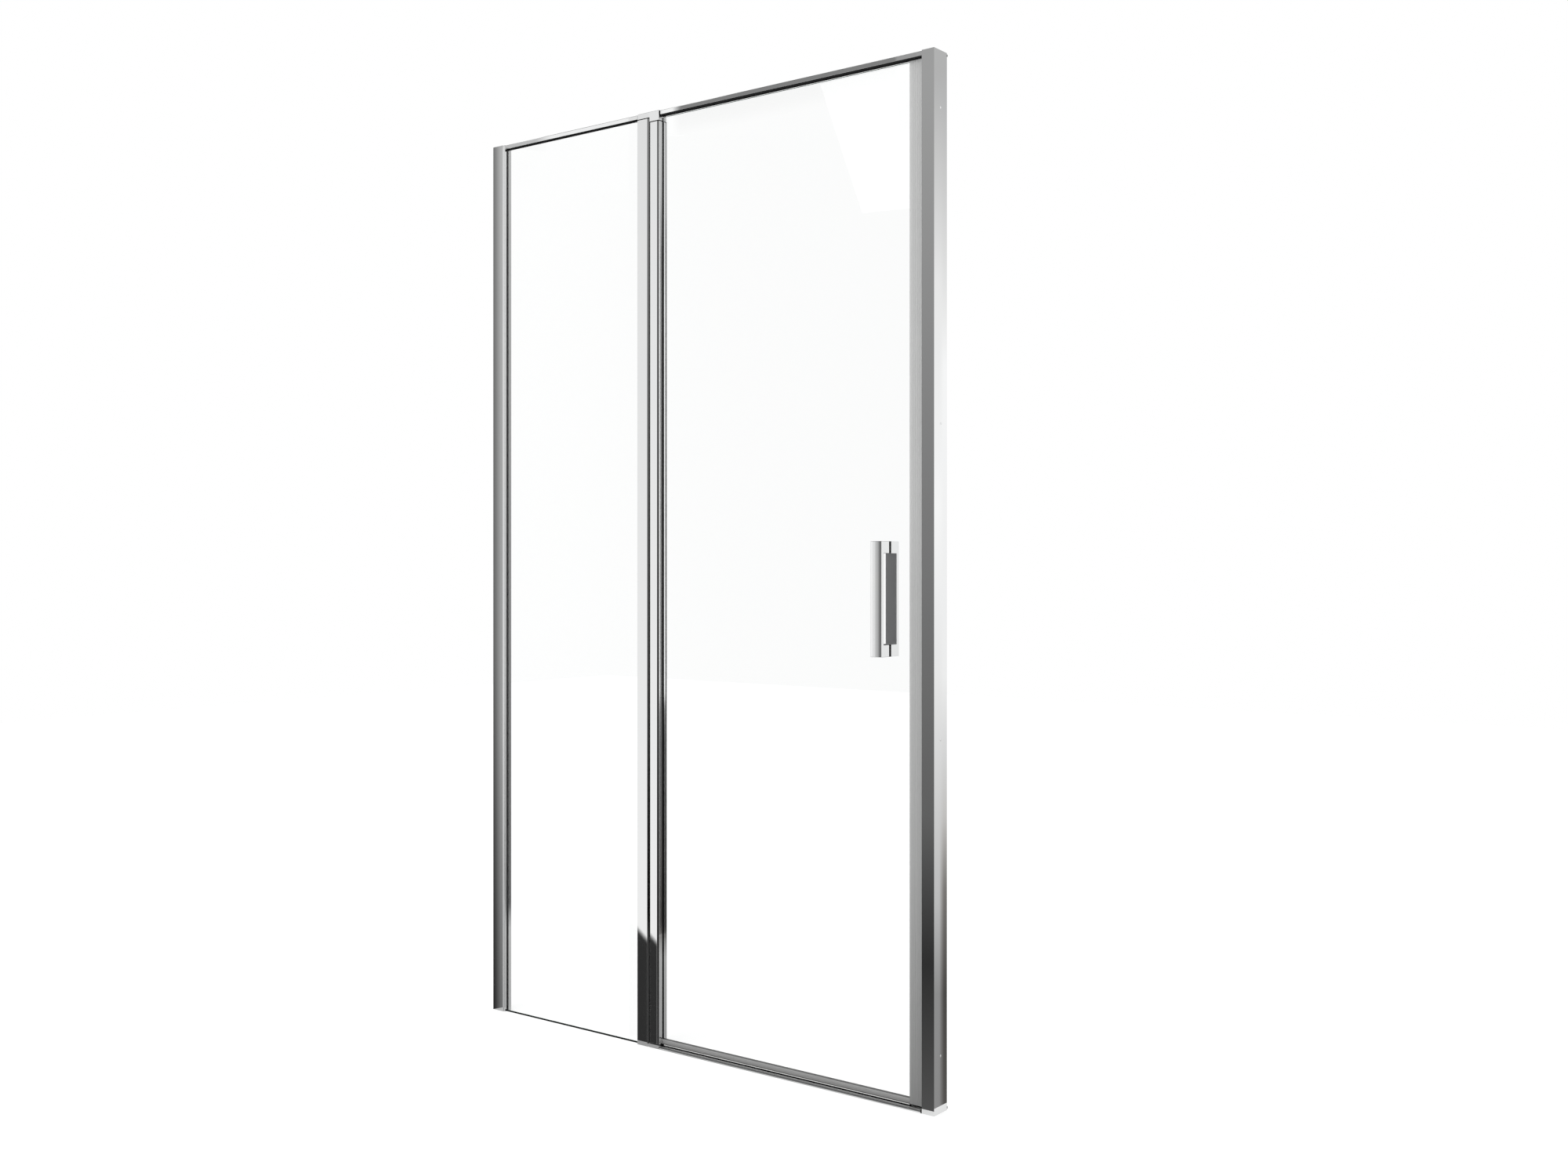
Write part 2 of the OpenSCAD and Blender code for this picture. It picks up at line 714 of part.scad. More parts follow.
door_pocket_x = pivot_x1 - door_pocket;
pivot_chamber_x0 = pivot_x0 + profile_wall;
pivot_chamber_x1 = door_pocket_x - profile_wall;
pivot_chamber_y0 = profile_wall;
pivot_chamber_y1 = post_d - profile_wall;
module door_pivot_profile() {
    color(chrome) upright(profile_z, profile_top) difference() {
        post_plan(pivot_x0, pivot_profile_w);
        area([door_pocket_x, door_slot_y0], [pivot_x1 + cut, door_slot_y1]);
        area([pivot_chamber_x0, pivot_chamber_y0], [pivot_chamber_x1, pivot_chamber_y1]);
        area([door_pocket_x, bevel_d + profile_wall],
            [pivot_x1 - profile_wall, door_slot_y0 - profile_wall]);
        area([door_pocket_x, door_slot_y1 + profile_wall],
            [pivot_x1 - profile_wall, pivot_chamber_y1]);
    }
}

// A bush fills the profile's chamber and has a flange over the profile's end
module pivot_bush(body_z0, body_z1, flange_z) {
    color(black) difference() {
        union() {
            block([pivot_chamber_x0 + slide_gap, pivot_chamber_y0 + slide_gap, body_z0],
                [pivot_chamber_x1 - slide_gap, pivot_chamber_y1 - slide_gap, body_z1]);
            upright(flange_z, flange_z + bush_flange_t) post_plan(pivot_x0, pivot_profile_w);
        }
        translate([pivot_x, pivot_y, body_z0 - cut])
            cylinder(r = pin_r + running_fit, h = body_z1 - body_z0 + 2 * cut);
    }
}

module top_pivot_bush() {
    pivot_bush(profile_top - spigot_h, profile_top + bush_flange_t, profile_top);
}

module bottom_pivot_bush() {
    pivot_bush(profile_z - bush_flange_t, profile_z + spigot_h, profile_z - bush_flange_t);
}

module door_glass() {
    color(glass_tint) difference() {
        block([door_pocket_x + pocket_clear, door_glass_y, door_glass_z],
            [glass_right, door_glass_back, door_glass_top]);
        block([door_pocket_x - cut, door_glass_y - cut, profile_top - slide_gap],
            [glass_notch_x, door_glass_back + cut, door_glass_top + cut]);
        for (z = handle_hole_z)
            rod_in_depth(handle_mid, z, glass_hole_r, door_glass_y - cut, door_glass_back + cut);
    }
}

module door_glass_gasket() {
    color(black) gasket_pair(door_pocket_x + slide_gap, pivot_x1,
        door_slot_y0, door_glass_y, door_glass_back, door_slot_y1,
        door_glass_z, profile_top - slide_gap);
}

// The clear strip on the door's free edge grips the glass and holds a magnet in its nose
seal_y0 = door_glass_y - seal_wall;
seal_y1 = door_glass_back + seal_wall;
magnet_x1 = seal_tip - magnet_nose;
magnet_x0 = magnet_x1 - magnet_t;
module door_edge_seal() {
    color(clear_seal) upright(drip_seal_z, door_seal_top) difference() {
        polygon([
            [glass_right - edge_seal_cover, seal_y0], [magnet_x0 - seal_wall, seal_y0],
            [seal_tip, door_mid_y - magnet_w / 2 - seal_wall / 2],
            [seal_tip, door_mid_y + magnet_w / 2 + seal_wall / 2],
            [magnet_x0 - seal_wall, seal_y1], [glass_right - edge_seal_cover, seal_y1]
        ]);
        area([glass_right - edge_seal_cover - cut, door_glass_y], [glass_right, door_glass_back]);
        area([glass_right + seal_wall, door_glass_y],
            [magnet_x0 - seal_wall, door_glass_back]);
        area([magnet_x0, door_mid_y - magnet_w / 2 + seal_wall / 2],
            [magnet_x1, door_mid_y + magnet_w / 2 - seal_wall / 2]);
    }
}

module door_magnet() {
    color(magnet_grey) block(
        [magnet_x0, door_mid_y - magnet_w / 2 + seal_wall / 2, drip_seal_z],
        [magnet_x1, door_mid_y + magnet_w / 2 - seal_wall / 2, door_seal_top]);
}

// The drip seal grips the glass from below and ends in two short fins
module door_drip_seal() {
    color(clear_seal) along_front(pivot_x1 + slide_gap, glass_right - edge_seal_cover - slide_gap)
        difference() {
            area([seal_y0, drip_seal_z], [seal_y1, drip_seal_z + drip_seal_h]);
            area([door_glass_y, door_glass_z],
                [door_glass_back, drip_seal_z + drip_seal_h + cut]);
            area([door_glass_y, drip_seal_z - cut], [door_glass_back, drip_seal_z + seal_wall]);
        }
}

// Half a handle as it stands on the glass, seen in plan: two feet and a crowned grip
handle_foot_reach = handle_reach - handle_pad_t;
module grip_plan(depth) {
    polygon(concat(
        [[0, depth], [0, 0]],
        [for (i = [1 : arc_steps * 2 - 1]) let (u = i / (arc_steps * 2))
            [handle_w * u, -4 * grip_crown * u * (1 - u)]],
        [[handle_w, 0], [handle_w, depth]]
    ));
}

// The outer face of the grip is at zero depth, and the feet reach back to the pads
module handle_half() {
    difference() {
        upright(handle_z, handle_z + handle_h) grip_plan(handle_foot_reach);
        block([-cut, grip_t, handle_z + handle_foot_h],
            [handle_w + cut, handle_foot_reach + cut, handle_z + handle_h - handle_foot_h]);
    }
}

bolt_tip = door_glass_y - handle_reach + bolt_cover;
bolt_seat = door_glass_back + handle_pad_t + handle_foot_reach / 2;
bolt_head_r = handle_bolt_r + bolt_head_rim;
bolt_recess_r = bolt_head_r + slide_gap * 2;
handle_back = door_glass_back + handle_reach;
module handle_outer() {
    color(chrome) difference() {
        translate([handle_x0, door_glass_y - handle_reach, 0]) handle_half();
        for (z = handle_hole_z)
            rod_in_depth(handle_mid, z, handle_bolt_r + screw_fit, bolt_tip - slide_gap, door_glass_y);
    }
}

module handle_inner() {
    color(chrome) difference() {
        translate([handle_x0, handle_back, 0]) mirror([0, 1, 0]) handle_half();
        for (z = handle_hole_z) {
            rod_in_depth(handle_mid, z, handle_bolt_r + screw_fit, door_glass_back, bolt_seat + cut);
            rod_in_depth(handle_mid, z, bolt_recess_r, bolt_seat, handle_back + grip_crown + cut);
        }
    }
}

module handle_pads() {
    color(black) for (y = [door_glass_y - handle_pad_t, door_glass_back])
        for (z = handle_hole_z)
            difference() {
                block([handle_x0, y, z - handle_foot_h / 2],
                    [handle_x1, y + handle_pad_t, z + handle_foot_h / 2]);
                rod_in_depth(handle_mid, z, handle_bolt_r + screw_fit, y - cut, y + handle_pad_t + cut);
            }
}

module handle_sleeves() {
    color(black) for (z = handle_hole_z)
        difference() {
            rod_in_depth(handle_mid, z, glass_hole_r - slide_gap, door_glass_y, door_glass_back);
            rod_in_depth(handle_mid, z, handle_bolt_r + screw_fit,
                door_glass_y - cut, door_glass_back + cut);
        }
}

module handle_bolts() {
    color(steel) for (z = handle_hole_z) {
        rod_in_depth(handle_mid, z, handle_bolt_r, bolt_tip, bolt_seat + cut);
        rod_in_depth(handle_mid, z, bolt_head_r, bolt_seat, bolt_seat + bolt_head_h);
    }
}

module handle_bolt_caps() {
    color(chrome) for (z = handle_hole_z)
        rod_in_depth(handle_mid, z, bolt_recess_r - screw_fit,
            bolt_seat + bolt_head_h, handle_back + grip_crown - bolt_cap_recess);
}

left_wall_channel();
left_glazing_profile();
left_glazing_gasket();
left_post_cap();
left_clamp_screws();
left_header_tongue();
fixed_glass();
fixed_glass_foot_seal();
fixed_post();
fixed_post_gasket();
pivot_gap_seal();
left_header_rail();
left_header_gasket();
header_joint_bar();
header_joint_screws();
right_header_rail();
right_header_seal();
top_bracket_pad();
top_pivot_bracket();
top_pivot_pin();
bottom_pivot_block();
bottom_pivot_pin();
bottom_thrust_washer();
pivot_bracket_screws();
right_wall_channel();
strike_profile();
strike_seal();
strike_magnet();
right_head_block();
right_post_cap();
right_clamp_screws();
threshold_bar();
threshold_left_cap();
threshold_right_cap();
door_pivot_profile();
top_pivot_bush();
bottom_pivot_bush();
door_glass();
door_glass_gasket();
door_edge_seal();
door_magnet();
door_drip_seal();
handle_outer();
handle_inner();
handle_pads();
handle_sleeves();
handle_bolts();
handle_bolt_caps();
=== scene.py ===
import json
import math

import bmesh
import bpy
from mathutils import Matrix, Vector

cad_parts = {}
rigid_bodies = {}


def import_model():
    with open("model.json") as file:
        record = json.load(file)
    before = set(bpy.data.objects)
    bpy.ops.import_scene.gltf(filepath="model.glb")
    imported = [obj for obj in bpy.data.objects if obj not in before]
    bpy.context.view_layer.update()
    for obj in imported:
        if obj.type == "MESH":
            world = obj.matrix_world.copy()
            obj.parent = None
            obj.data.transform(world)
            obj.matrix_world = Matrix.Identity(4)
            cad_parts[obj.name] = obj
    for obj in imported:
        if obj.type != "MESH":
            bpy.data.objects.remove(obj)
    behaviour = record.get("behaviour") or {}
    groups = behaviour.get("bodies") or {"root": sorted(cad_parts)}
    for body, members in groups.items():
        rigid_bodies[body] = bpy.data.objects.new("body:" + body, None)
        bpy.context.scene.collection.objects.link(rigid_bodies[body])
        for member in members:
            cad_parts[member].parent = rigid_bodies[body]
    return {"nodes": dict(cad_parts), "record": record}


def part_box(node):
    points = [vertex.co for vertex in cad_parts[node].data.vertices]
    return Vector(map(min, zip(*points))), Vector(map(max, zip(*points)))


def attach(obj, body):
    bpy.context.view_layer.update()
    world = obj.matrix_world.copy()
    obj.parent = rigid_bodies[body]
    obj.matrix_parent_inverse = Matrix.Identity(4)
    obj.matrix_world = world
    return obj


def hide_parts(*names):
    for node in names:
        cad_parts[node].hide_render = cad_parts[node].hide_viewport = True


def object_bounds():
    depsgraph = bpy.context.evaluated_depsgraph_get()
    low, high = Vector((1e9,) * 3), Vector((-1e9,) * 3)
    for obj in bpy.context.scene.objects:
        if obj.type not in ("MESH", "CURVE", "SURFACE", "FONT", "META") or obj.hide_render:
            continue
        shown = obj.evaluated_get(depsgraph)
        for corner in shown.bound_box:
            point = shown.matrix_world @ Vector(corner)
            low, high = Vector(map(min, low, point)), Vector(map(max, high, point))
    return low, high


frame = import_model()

# Hinged shower door with a fixed side panel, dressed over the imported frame.
# X runs along the front, Y into the shower and Z up, all in metres.
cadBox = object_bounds()
mm = 0.001
hair = 0.01 * mm                   # places nearer than this count as the same
weldGap = 0.004 * mm               # points nearer than this are made one
flatAngle = math.radians(0.4)      # faces flatter than this are made one
scene = bpy.context.scene
bodyOf = {n: body for body, nodes in frame["record"]["behaviour"]["bodies"].items() for n in nodes}
print("frame loaded:", len(frame["nodes"]), "nodes")


# Shader building

class Wire:
    # One socket, so that shader maths reads as plain Python
    def __init__(self, tree, socket):
        self.tree, self.socket = tree, socket

    def out(self, name):
        return Wire(self.tree, self.socket.node.outputs[name])

    def maths(self, operation, first, second=0.0):
        return self.tree.add("Math", {"operation": operation}, {0: first, 1: second})

    def __add__(self, other):
        return self.maths("ADD", self, other)

    def __radd__(self, other):
        return self.maths("ADD", other, self)

    def __sub__(self, other):
        return self.maths("SUBTRACT", self, other)

    def __rsub__(self, other):
        return self.maths("SUBTRACT", other, self)

    def __mul__(self, other):
        return self.maths("MULTIPLY", self, other)

    def __rmul__(self, other):
        return self.maths("MULTIPLY", other, self)

    def __truediv__(self, other):
        return self.maths("DIVIDE", self, other)

    def __pow__(self, other):
        return self.maths("POWER", self, other)

    def __gt__(self, other):
        return self.maths("GREATER_THAN", self, other)

    def __lt__(self, other):
        return self.maths("LESS_THAN", self, other)

    def size(self):
        return self.maths("ABSOLUTE", self)

    def clamped(self):
        return self.tree.add("Clamp", {}, {"Value": self})


class ShaderTree:
    def __init__(self, owner):
        self.owner, owner.use_nodes = owner, True
        self.nodes, self.links = owner.node_tree.nodes, owner.node_tree.links
        self.nodes.clear()

    # Any node: its kind, its settings, which are set first, and the values or links of its sockets
    def add(self, kind, settings=None, sockets=None):
        node = self.nodes.new("ShaderNode" + kind)
        for name, value in (settings or {}).items():
            if name == "stops":
                ramp = node.color_ramp
                while len(ramp.elements) < len(value):
                    ramp.elements.new(1.0)
                for element, (position, level) in zip(ramp.elements, value):
                    element.position = position
                    element.color = (level, level, level, 1.0)
            else:
                setattr(node, name, value)
        for name, value in (sockets or {}).items():
            socket = node.inputs[name]
            if isinstance(value, Wire):
                self.links.new(value.socket, socket)
            elif isinstance(value, tuple) and socket.type == "RGBA":
                socket.default_value = (*value, 1.0)
            else:
                socket.default_value = value
        return Wire(self, node.outputs[0]) if node.outputs else None

    # One axis of the coordinates or normals
    def axis(self, letter, kind="Object"):
        return self.add("SeparateXYZ", {}, {0: self.add("TexCoord").out(kind)}).out(letter)

    def mix(self, factor, first, second):
        return self.add("MixShader", {}, {0: factor, 1: first, 2: second})

    # What the tree shows; returns the material or world that it belongs to
    def show(self, surface, kind="OutputMaterial"):
        self.add(kind, {}, {"Surface": surface})
        return self.owner

    # What camera and glass see directly, and what polished metal mirrors
    def rayKinds(self):
        ray = self.add("LightPath")
        mirrored = ray.out("Glossy Depth") > 0.5
        seen = (ray.out("Is Camera Ray") + ray.out("Is Transmission Ray")).clamped() * (1 - mirrored)
        return seen, mirrored * (1 - ray.out("Is Diffuse Ray"))

    def place(self, scale=(1.0, 1.0, 1.0)):
        spot = self.add("TexCoord").out("Object")
        return self.add("Mapping", {}, {"Vector": spot, "Scale": scale})

    def noise(self, place, scale, detail=2.0, roughness=0.5):
        return self.add("TexNoise", {}, {
            "Vector": place, "Scale": scale, "Detail": detail, "Roughness": roughness})

    def blend(self, factor, first, second):
        mix = self.add("Mix", {"data_type": "RGBA"}, {0: factor, 6: first, 7: second})
        return mix.out(2)

    def bump(self, height, depth):
        return self.add("Bump", {}, {"Height": height, "Distance": depth, "Strength": 1.0})


def materialTree(name):
    return ShaderTree(bpy.data.materials.new(name))


# Polished metal: drawn lines run along the profile, under a faint cloudiness from buffing.
# Given a shade tone, the faces that look at the glass get a satin roughness and a darker colour, which is
# painted shade for the gap between grip and glass.
def polishedMetal(name, look, scale):
    tree = materialTree(name)
    lines = tree.noise(tree.place(scale), 1.0, 3.0)
    cloud = tree.noise(tree.place(), look["cloudScale"], 2.0)
    roughness = look["roughness"] + (lines - 0.5) * look["lineRoughness"]
    roughness = roughness + (cloud - 0.5) * look["cloudRoughness"]
    colour = tree.blend(cloud, look["coolTone"], look["warmTone"])
    if "satin" in look:
        # painted shade: faces towards the glass are darkened, standing for the shade between grip and glass
        inward = (tree.axis("Y") - look["glassMiddle"]) * tree.axis("Y", "Normal") < -look["satinAndShadeFrom"]
        colour = tree.blend(inward, colour, look["satin"])
        roughness = roughness + inward * look["satinRoughness"]
    surface = tree.add("BsdfPrincipled", {}, {
        "Base Color": colour, "Metallic": 1.0, "Roughness": roughness,
        "Normal": tree.bump(lines, look["lineDepth"])})
    return tree.show(surface)


profileLook = {
    "coolTone": (0.87, 0.88, 0.89), "warmTone": (0.90, 0.90, 0.89), "roughness": 0.012,
    "lineRoughness": 0.008, "cloudRoughness": 0.006, "cloudScale": 7.0, "lineDepth": 1.5e-7,
}
uprightMetal = polishedMetal("uprightProfileMetal", profileLook, (900.0, 900.0, 3.0))
railMetal = polishedMetal("railProfileMetal", profileLook, (3.0, 900.0, 900.0))

chromeLook = {
    **profileLook, "coolTone": (0.88, 0.89, 0.90), "warmTone": (0.91, 0.91, 0.90),
    "roughness": 0.014, "cloudScale": 40.0, "lineDepth": 2e-7,
}
castChrome = polishedMetal("castChrome", chromeLook, (260.0, 260.0, 260.0))
handleChrome = polishedMetal("handleChrome", {
    **chromeLook, "cloudRoughness": 0.0,
    # the dark tone on the faces towards the glass is painted shade
    "satin": (0.30, 0.30, 0.305), "satinRoughness": 0.30, "satinAndShadeFrom": 9 * mm, "glassMiddle": 14.7 * mm,
}, (260.0, 260.0, 260.0))

steelLook = {
    "coolTone": (0.54, 0.55, 0.57), "warmTone": (0.62, 0.61, 0.60), "roughness": 0.27,
    "lineRoughness": 0.14, "cloudRoughness": 0.08, "cloudScale": 120.0, "lineDepth": 6e-6,
}
turnedSteel = polishedMetal("turnedSteel", steelLook, (2600.0, 2600.0, 500.0))


def makeGlass():
    look = {
        "body": (0.995, 1.0, 0.998), "gloss": 0.07, "wave": 1.2e-6,
        "edge": (0.012, 0.050, 0.038), "edgeLight": (0.045, 0.135, 0.105), "grind": 2e-6,
        "edgeRoughness": 0.10, "grindRoughness": 0.12,
        "notch": (0.36, 0.37, 0.365), "notchPlace": (0.500, 0.522, 1.920),
    }
    tree = materialTree("clearGlass")
    wave = tree.noise(tree.place(), 5.0, 1.0)
    body = tree.add("BsdfPrincipled", {}, {
        "Base Color": look["body"], "Roughness": 0.0, "IOR": 1.5, "Transmission Weight": 1.0,
        "Specular IOR Level": look["gloss"],
        "Normal": tree.bump(wave, look["wave"])})
    grind = tree.noise(tree.place((40.0, 900.0, 40.0)), 1.0, 3.0)
    # painted light: edges in the corner notch are light grey instead of the glass edge's green, standing for
    # the lit bracket leg seen there
    x, (near, far, level) = tree.axis("X"), look["notchPlace"]
    notch = (x > near) * (x < far) * (tree.axis("Z") > level)
    edge = tree.add("BsdfPrincipled", {}, {
        "Base Color": tree.blend(notch, tree.blend(grind, look["edge"], look["edgeLight"]), look["notch"]),
        "Roughness": look["edgeRoughness"] + look["grindRoughness"] * grind, "IOR": 1.5,
        "Normal": tree.bump(grind, look["grind"])})
    return tree.show(tree.mix(tree.axis("Y", "Normal").size() < 0.9, body, edge))


def makeSoft(name, look):
    tree = materialTree(name)
    grain = tree.noise(tree.place(), look["grainScale"], 4.0, 0.6)
    blotch = tree.noise(tree.place(), look["blotchScale"], 2.0)
    surface = tree.add("BsdfPrincipled", {}, {
        "Base Color": tree.blend(blotch, look["dark"], look["light"]),
        "Roughness": look["roughness"] + (grain - 0.5) * look["roughnessSpread"],
        "IOR": 1.46, "Specular IOR Level": look["sheen"],
        "Normal": tree.bump(grain, look["grainDepth"])})
    return tree.show(surface)


clearGlass = makeGlass()
rubberLook = {
    "dark": (0.003, 0.003, 0.0035), "light": (0.008, 0.008, 0.009),
    "roughness": 0.58, "roughnessSpread": 0.2, "sheen": 0.08,
    "grainScale": 2400.0, "grainDepth": 2.5e-5, "blotchScale": 60.0,
}
blackRubber = makeSoft("blackRubber", rubberLook)
railRubber = makeSoft("railRubber", {
    **rubberLook, "dark": (0.012, 0.012, 0.013), "light": (0.022, 0.022, 0.023),
    "roughness": 0.6, "sheen": 0.12,
})
blackPlastic = makeSoft("mouldedBlackPlastic", {
    "dark": (0.012, 0.012, 0.013), "light": (0.022, 0.022, 0.024),
    "roughness": 0.42, "roughnessSpread": 0.16, "sheen": 0.35,
    "grainScale": 1500.0, "grainDepth": 1.5e-5, "blotchScale": 90.0,
})
magnetStrip = makeSoft("magnetStrip", {
    "dark": (0.045, 0.038, 0.034), "light": (0.085, 0.075, 0.066),
    "roughness": 0.62, "roughnessSpread": 0.2, "sheen": 0.3,
    "grainScale": 1800.0, "grainDepth": 2e-5, "blotchScale": 120.0,
})


# Frosted seal: a milky, slightly glossy plastic with drawn streaks along its length
def makeSeal(name, scale, look):
    look = {"roughness": 0.30, "roughnessSpread": 0.18, "streakDepth": 1e-6, "transmission": 0.30, **look}
    tree = materialTree(name)
    streaks = tree.noise(tree.place(scale), 1.0, 3.0, 0.6)
    haze = tree.noise(tree.place(), 35.0, 2.0)
    colour = tree.blend(streaks * 0.7 + haze * 0.3, look["milky"], look["dense"])
    if "shade" in look:
        # painted shade: darker at some heights; height over reach, share of the colour that's left
        share = tree.add("ValToRGB", {"stops": look["shade"]}, {"Fac": tree.axis("Z") / look["reach"]})
        colour = tree.blend(share, (0.0, 0.0, 0.0), colour)
    surface = tree.add("BsdfPrincipled", {}, {
        "Base Color": colour,
        "Roughness": look["roughness"] + (streaks - 0.5) * look["roughnessSpread"],
        "IOR": 1.46, "Transmission Weight": look["transmission"],
        "Normal": tree.bump(streaks, look["streakDepth"])})
    return tree.show(surface)


# painted shade: the edge seal's colour darkens towards the bottom
uprightSeal = makeSeal("uprightClearSeal", (520.0, 520.0, 2.0), {
    "milky": (0.72, 0.725, 0.72), "dense": (0.66, 0.665, 0.66), "reach": 2.0, "shade": [
        (0.0, 0.5), (0.23, 0.78), (0.55, 1.0)]})
# painted shade: the drip seal is dark at its fins and along its top edge, and darker lower down
railSeal = makeSeal("railClearSeal", (2.0, 520.0, 520.0), {
    "milky": (0.56, 0.56, 0.555), "dense": (0.48, 0.48, 0.475), "reach": 20 * mm, "shade": [
        (0.0, 0.22), (0.48, 0.22), (0.50, 0.66), (0.925, 1.0), (0.95, 0.35), (1.0, 0.35)]})
softLipSeal = makeSeal("softLipSeal", (2.0, 520.0, 520.0), {
    "milky": (0.95, 0.95, 0.94), "dense": (0.90, 0.90, 0.89), "transmission": 0.0})
print("materials made")


# Modelling helpers

def clearSelection():
    if bpy.context.mode != "OBJECT":
        bpy.ops.object.mode_set(mode="OBJECT")
    bpy.ops.object.select_all(action="DESELECT")


def choose(*pieces):
    clearSelection()
    for piece in pieces:
        piece.select_set(True)
    bpy.context.view_layer.objects.active = pieces[-1]


def edit(piece):
    choose(piece)
    bpy.ops.object.mode_set(mode="EDIT")
    bpy.ops.mesh.select_all(action="DESELECT")


def pickAll():
    bpy.ops.mesh.select_all(action="SELECT")


def leaveEdit():
    bpy.ops.object.mode_set(mode="OBJECT")


# Turns every face outwards and leaves edit mode
def faceOutwards():
    pickAll()
    bpy.ops.mesh.normals_make_consistent(inside=False)
    leaveEdit()


def smoothBelow(degrees):
    bpy.ops.object.shade_smooth_by_angle(angle=math.radians(degrees))


# Selects what the test says yes to, by its middle, while the piece is in edit mode
def pickParts(piece, kind, test):
    mesh = bmesh.from_edit_mesh(piece.data)
    bpy.ops.mesh.select_mode(type={"verts": "VERT", "edges": "EDGE", "faces": "FACE"}[kind])
    bpy.ops.mesh.select_all(action="DESELECT")
    for part in getattr(mesh, kind):
        if kind == "verts":
            chosen = test(part.co)
        elif kind == "edges":
            chosen = test((part.verts[0].co + part.verts[1].co) / 2)
        else:
            chosen = test(part.calc_center_median(), part.normal)
        part.select_set(bool(chosen))
    mesh.select_flush_mode()
    bmesh.update_edit_mesh(piece.data)


def settle(piece, name):
    choose(piece)
    bpy.ops.object.transform_apply(location=True, rotation=True, scale=True)
    piece.name = piece.data.name = name
    return piece


def addBlock(name, low, high):
    clearSelection()
    low, high = Vector(low), Vector(high)
    bpy.ops.mesh.primitive_cube_add(size=1.0, location=(low + high) / 2, scale=high - low)
    return settle(bpy.context.object, name)


def addRod(name, centre, radius, length, turn=(0.0, 0.0, 0.0), sides=48):
    clearSelection()
    bpy.ops.mesh.primitive_cylinder_add(
        vertices=sides, radius=radius, depth=length, location=centre, rotation=turn)
    return settle(bpy.context.object, name)


def applyModifier(piece, kind, **settings):
    choose(piece)
    modifier = piece.modifiers.new(kind.lower(), kind)
    for name, value in settings.items():
        setattr(modifier, name, value)
    bpy.ops.object.modifier_apply(modifier=modifier.name)
    return piece


# Rounds the sharp edges and keeps the flats truly flat in the reflections
def softenEdges(piece, width, segments=2, angle=12.0):
    choose(piece)
    bpy.ops.object.shade_smooth()
    return applyModifier(
        piece, "BEVEL", width=width, segments=segments, limit_method="ANGLE",
        angle_limit=math.radians(angle), harden_normals=True)


# A copy of a CAD node's mesh, merged and with its flat faces made whole
def copyNode(node, name):
    choose(frame["nodes"][node])
    bpy.ops.object.duplicate()
    piece = bpy.context.object
    bpy.ops.object.parent_clear(type="CLEAR_KEEP_TRANSFORM")
    for key in list(piece.keys()):
        del piece[key]
    piece.name = piece.data.name = name
    bpy.ops.mesh.customdata_custom_splitnormals_clear()
    edit(piece)
    pickAll()
    bpy.ops.mesh.remove_doubles(threshold=weldGap)
    bpy.ops.mesh.dissolve_limited(angle_limit=flatAngle)
    leaveEdit()
    return piece


# Traces an outline point by point, closes and fills it, and draws it out along one axis.
# Outlines after the first are hollows.
def drawOut(name, outlines, axis, start, end):
    clearSelection()
    piece = None
    for outline in outlines:
        corners = [Vector((start, *point)) if axis == "X" else Vector((*point, start)) for point in outline]
        bpy.ops.mesh.primitive_plane_add(size=mm)
        if piece is None:
            piece = bpy.context.object
            bpy.ops.object.mode_set(mode="EDIT")
            bpy.ops.mesh.select_mode(type="VERT")
        bpy.ops.mesh.merge(type="CENTER")
        bpy.ops.transform.translate(value=corners[0])
        for here, there in zip(corners, corners[1:]):
            bpy.ops.mesh.extrude_vertices_move(TRANSFORM_OT_translate={"value": there - here})
        tips = (corners[0], corners[-1])
        pickParts(piece, "verts", lambda co: min((co - tip).length for tip in tips) < hair)
        bpy.ops.mesh.edge_face_add()
        bpy.ops.mesh.select_all(action="DESELECT")
    pickAll()
    if len(outlines) == 1:
        bpy.ops.mesh.edge_face_add()
    else:
        bpy.ops.mesh.fill(use_beauty=True)
    pickAll()
    travel = Vector((end - start, 0, 0)) if axis == "X" else Vector((0, 0, end - start))
    bpy.ops.mesh.extrude_region_move(TRANSFORM_OT_translate={"value": travel})
    faceOutwards()
    piece.name = piece.data.name = name
    return piece


# Points of a round stretch in an outline, in degrees
def arc(centre, radius, fromAngle, toAngle, steps):
    angles = [math.radians(fromAngle + (toAngle - fromAngle) * i / steps) for i in range(steps + 1)]
    return [(centre[0] + radius * math.cos(a), centre[1] + radius * math.sin(a)) for a in angles]


def joinPieces(pieces, name):
    choose(*pieces)
    bpy.ops.object.join()
    return settle(bpy.context.object, name)


# A copy with its own mesh, turned and then set down at a new place
def copyPiece(piece, place, turn):
    choose(piece)
    bpy.ops.object.duplicate()
    copy = bpy.context.object
    copy.rotation_euler = [math.radians(angle) for angle in turn]
    copy.location = place
    return settle(copy, piece.name + "Copy")


# Copies a piece to each spot and joins the copies
def repeatPiece(first, spots, turn, name):
    copies = [copyPiece(first, spot, turn) for spot in spots]
    bpy.data.objects.remove(first)
    return joinPieces(copies, name)


# Rounds the outer edges that pass the test, on a rod that stands at the origin
def roundRim(rod, radius, test, width, segments):
    edit(rod)
    pickParts(rod, "edges", lambda co: test(co.z) and co.xy.length > 0.9 * radius)
    bpy.ops.mesh.bevel(offset=width, segments=segments)
    leaveEdit()


def cutWith(piece, cutter):
    applyModifier(piece, "BOOLEAN", object=cutter, operation="DIFFERENCE", solver="EXACT")
    bpy.data.objects.remove(cutter)
    return piece


def setMaterial(piece, material):
    piece.data.materials.clear()
    piece.data.materials.append(material)


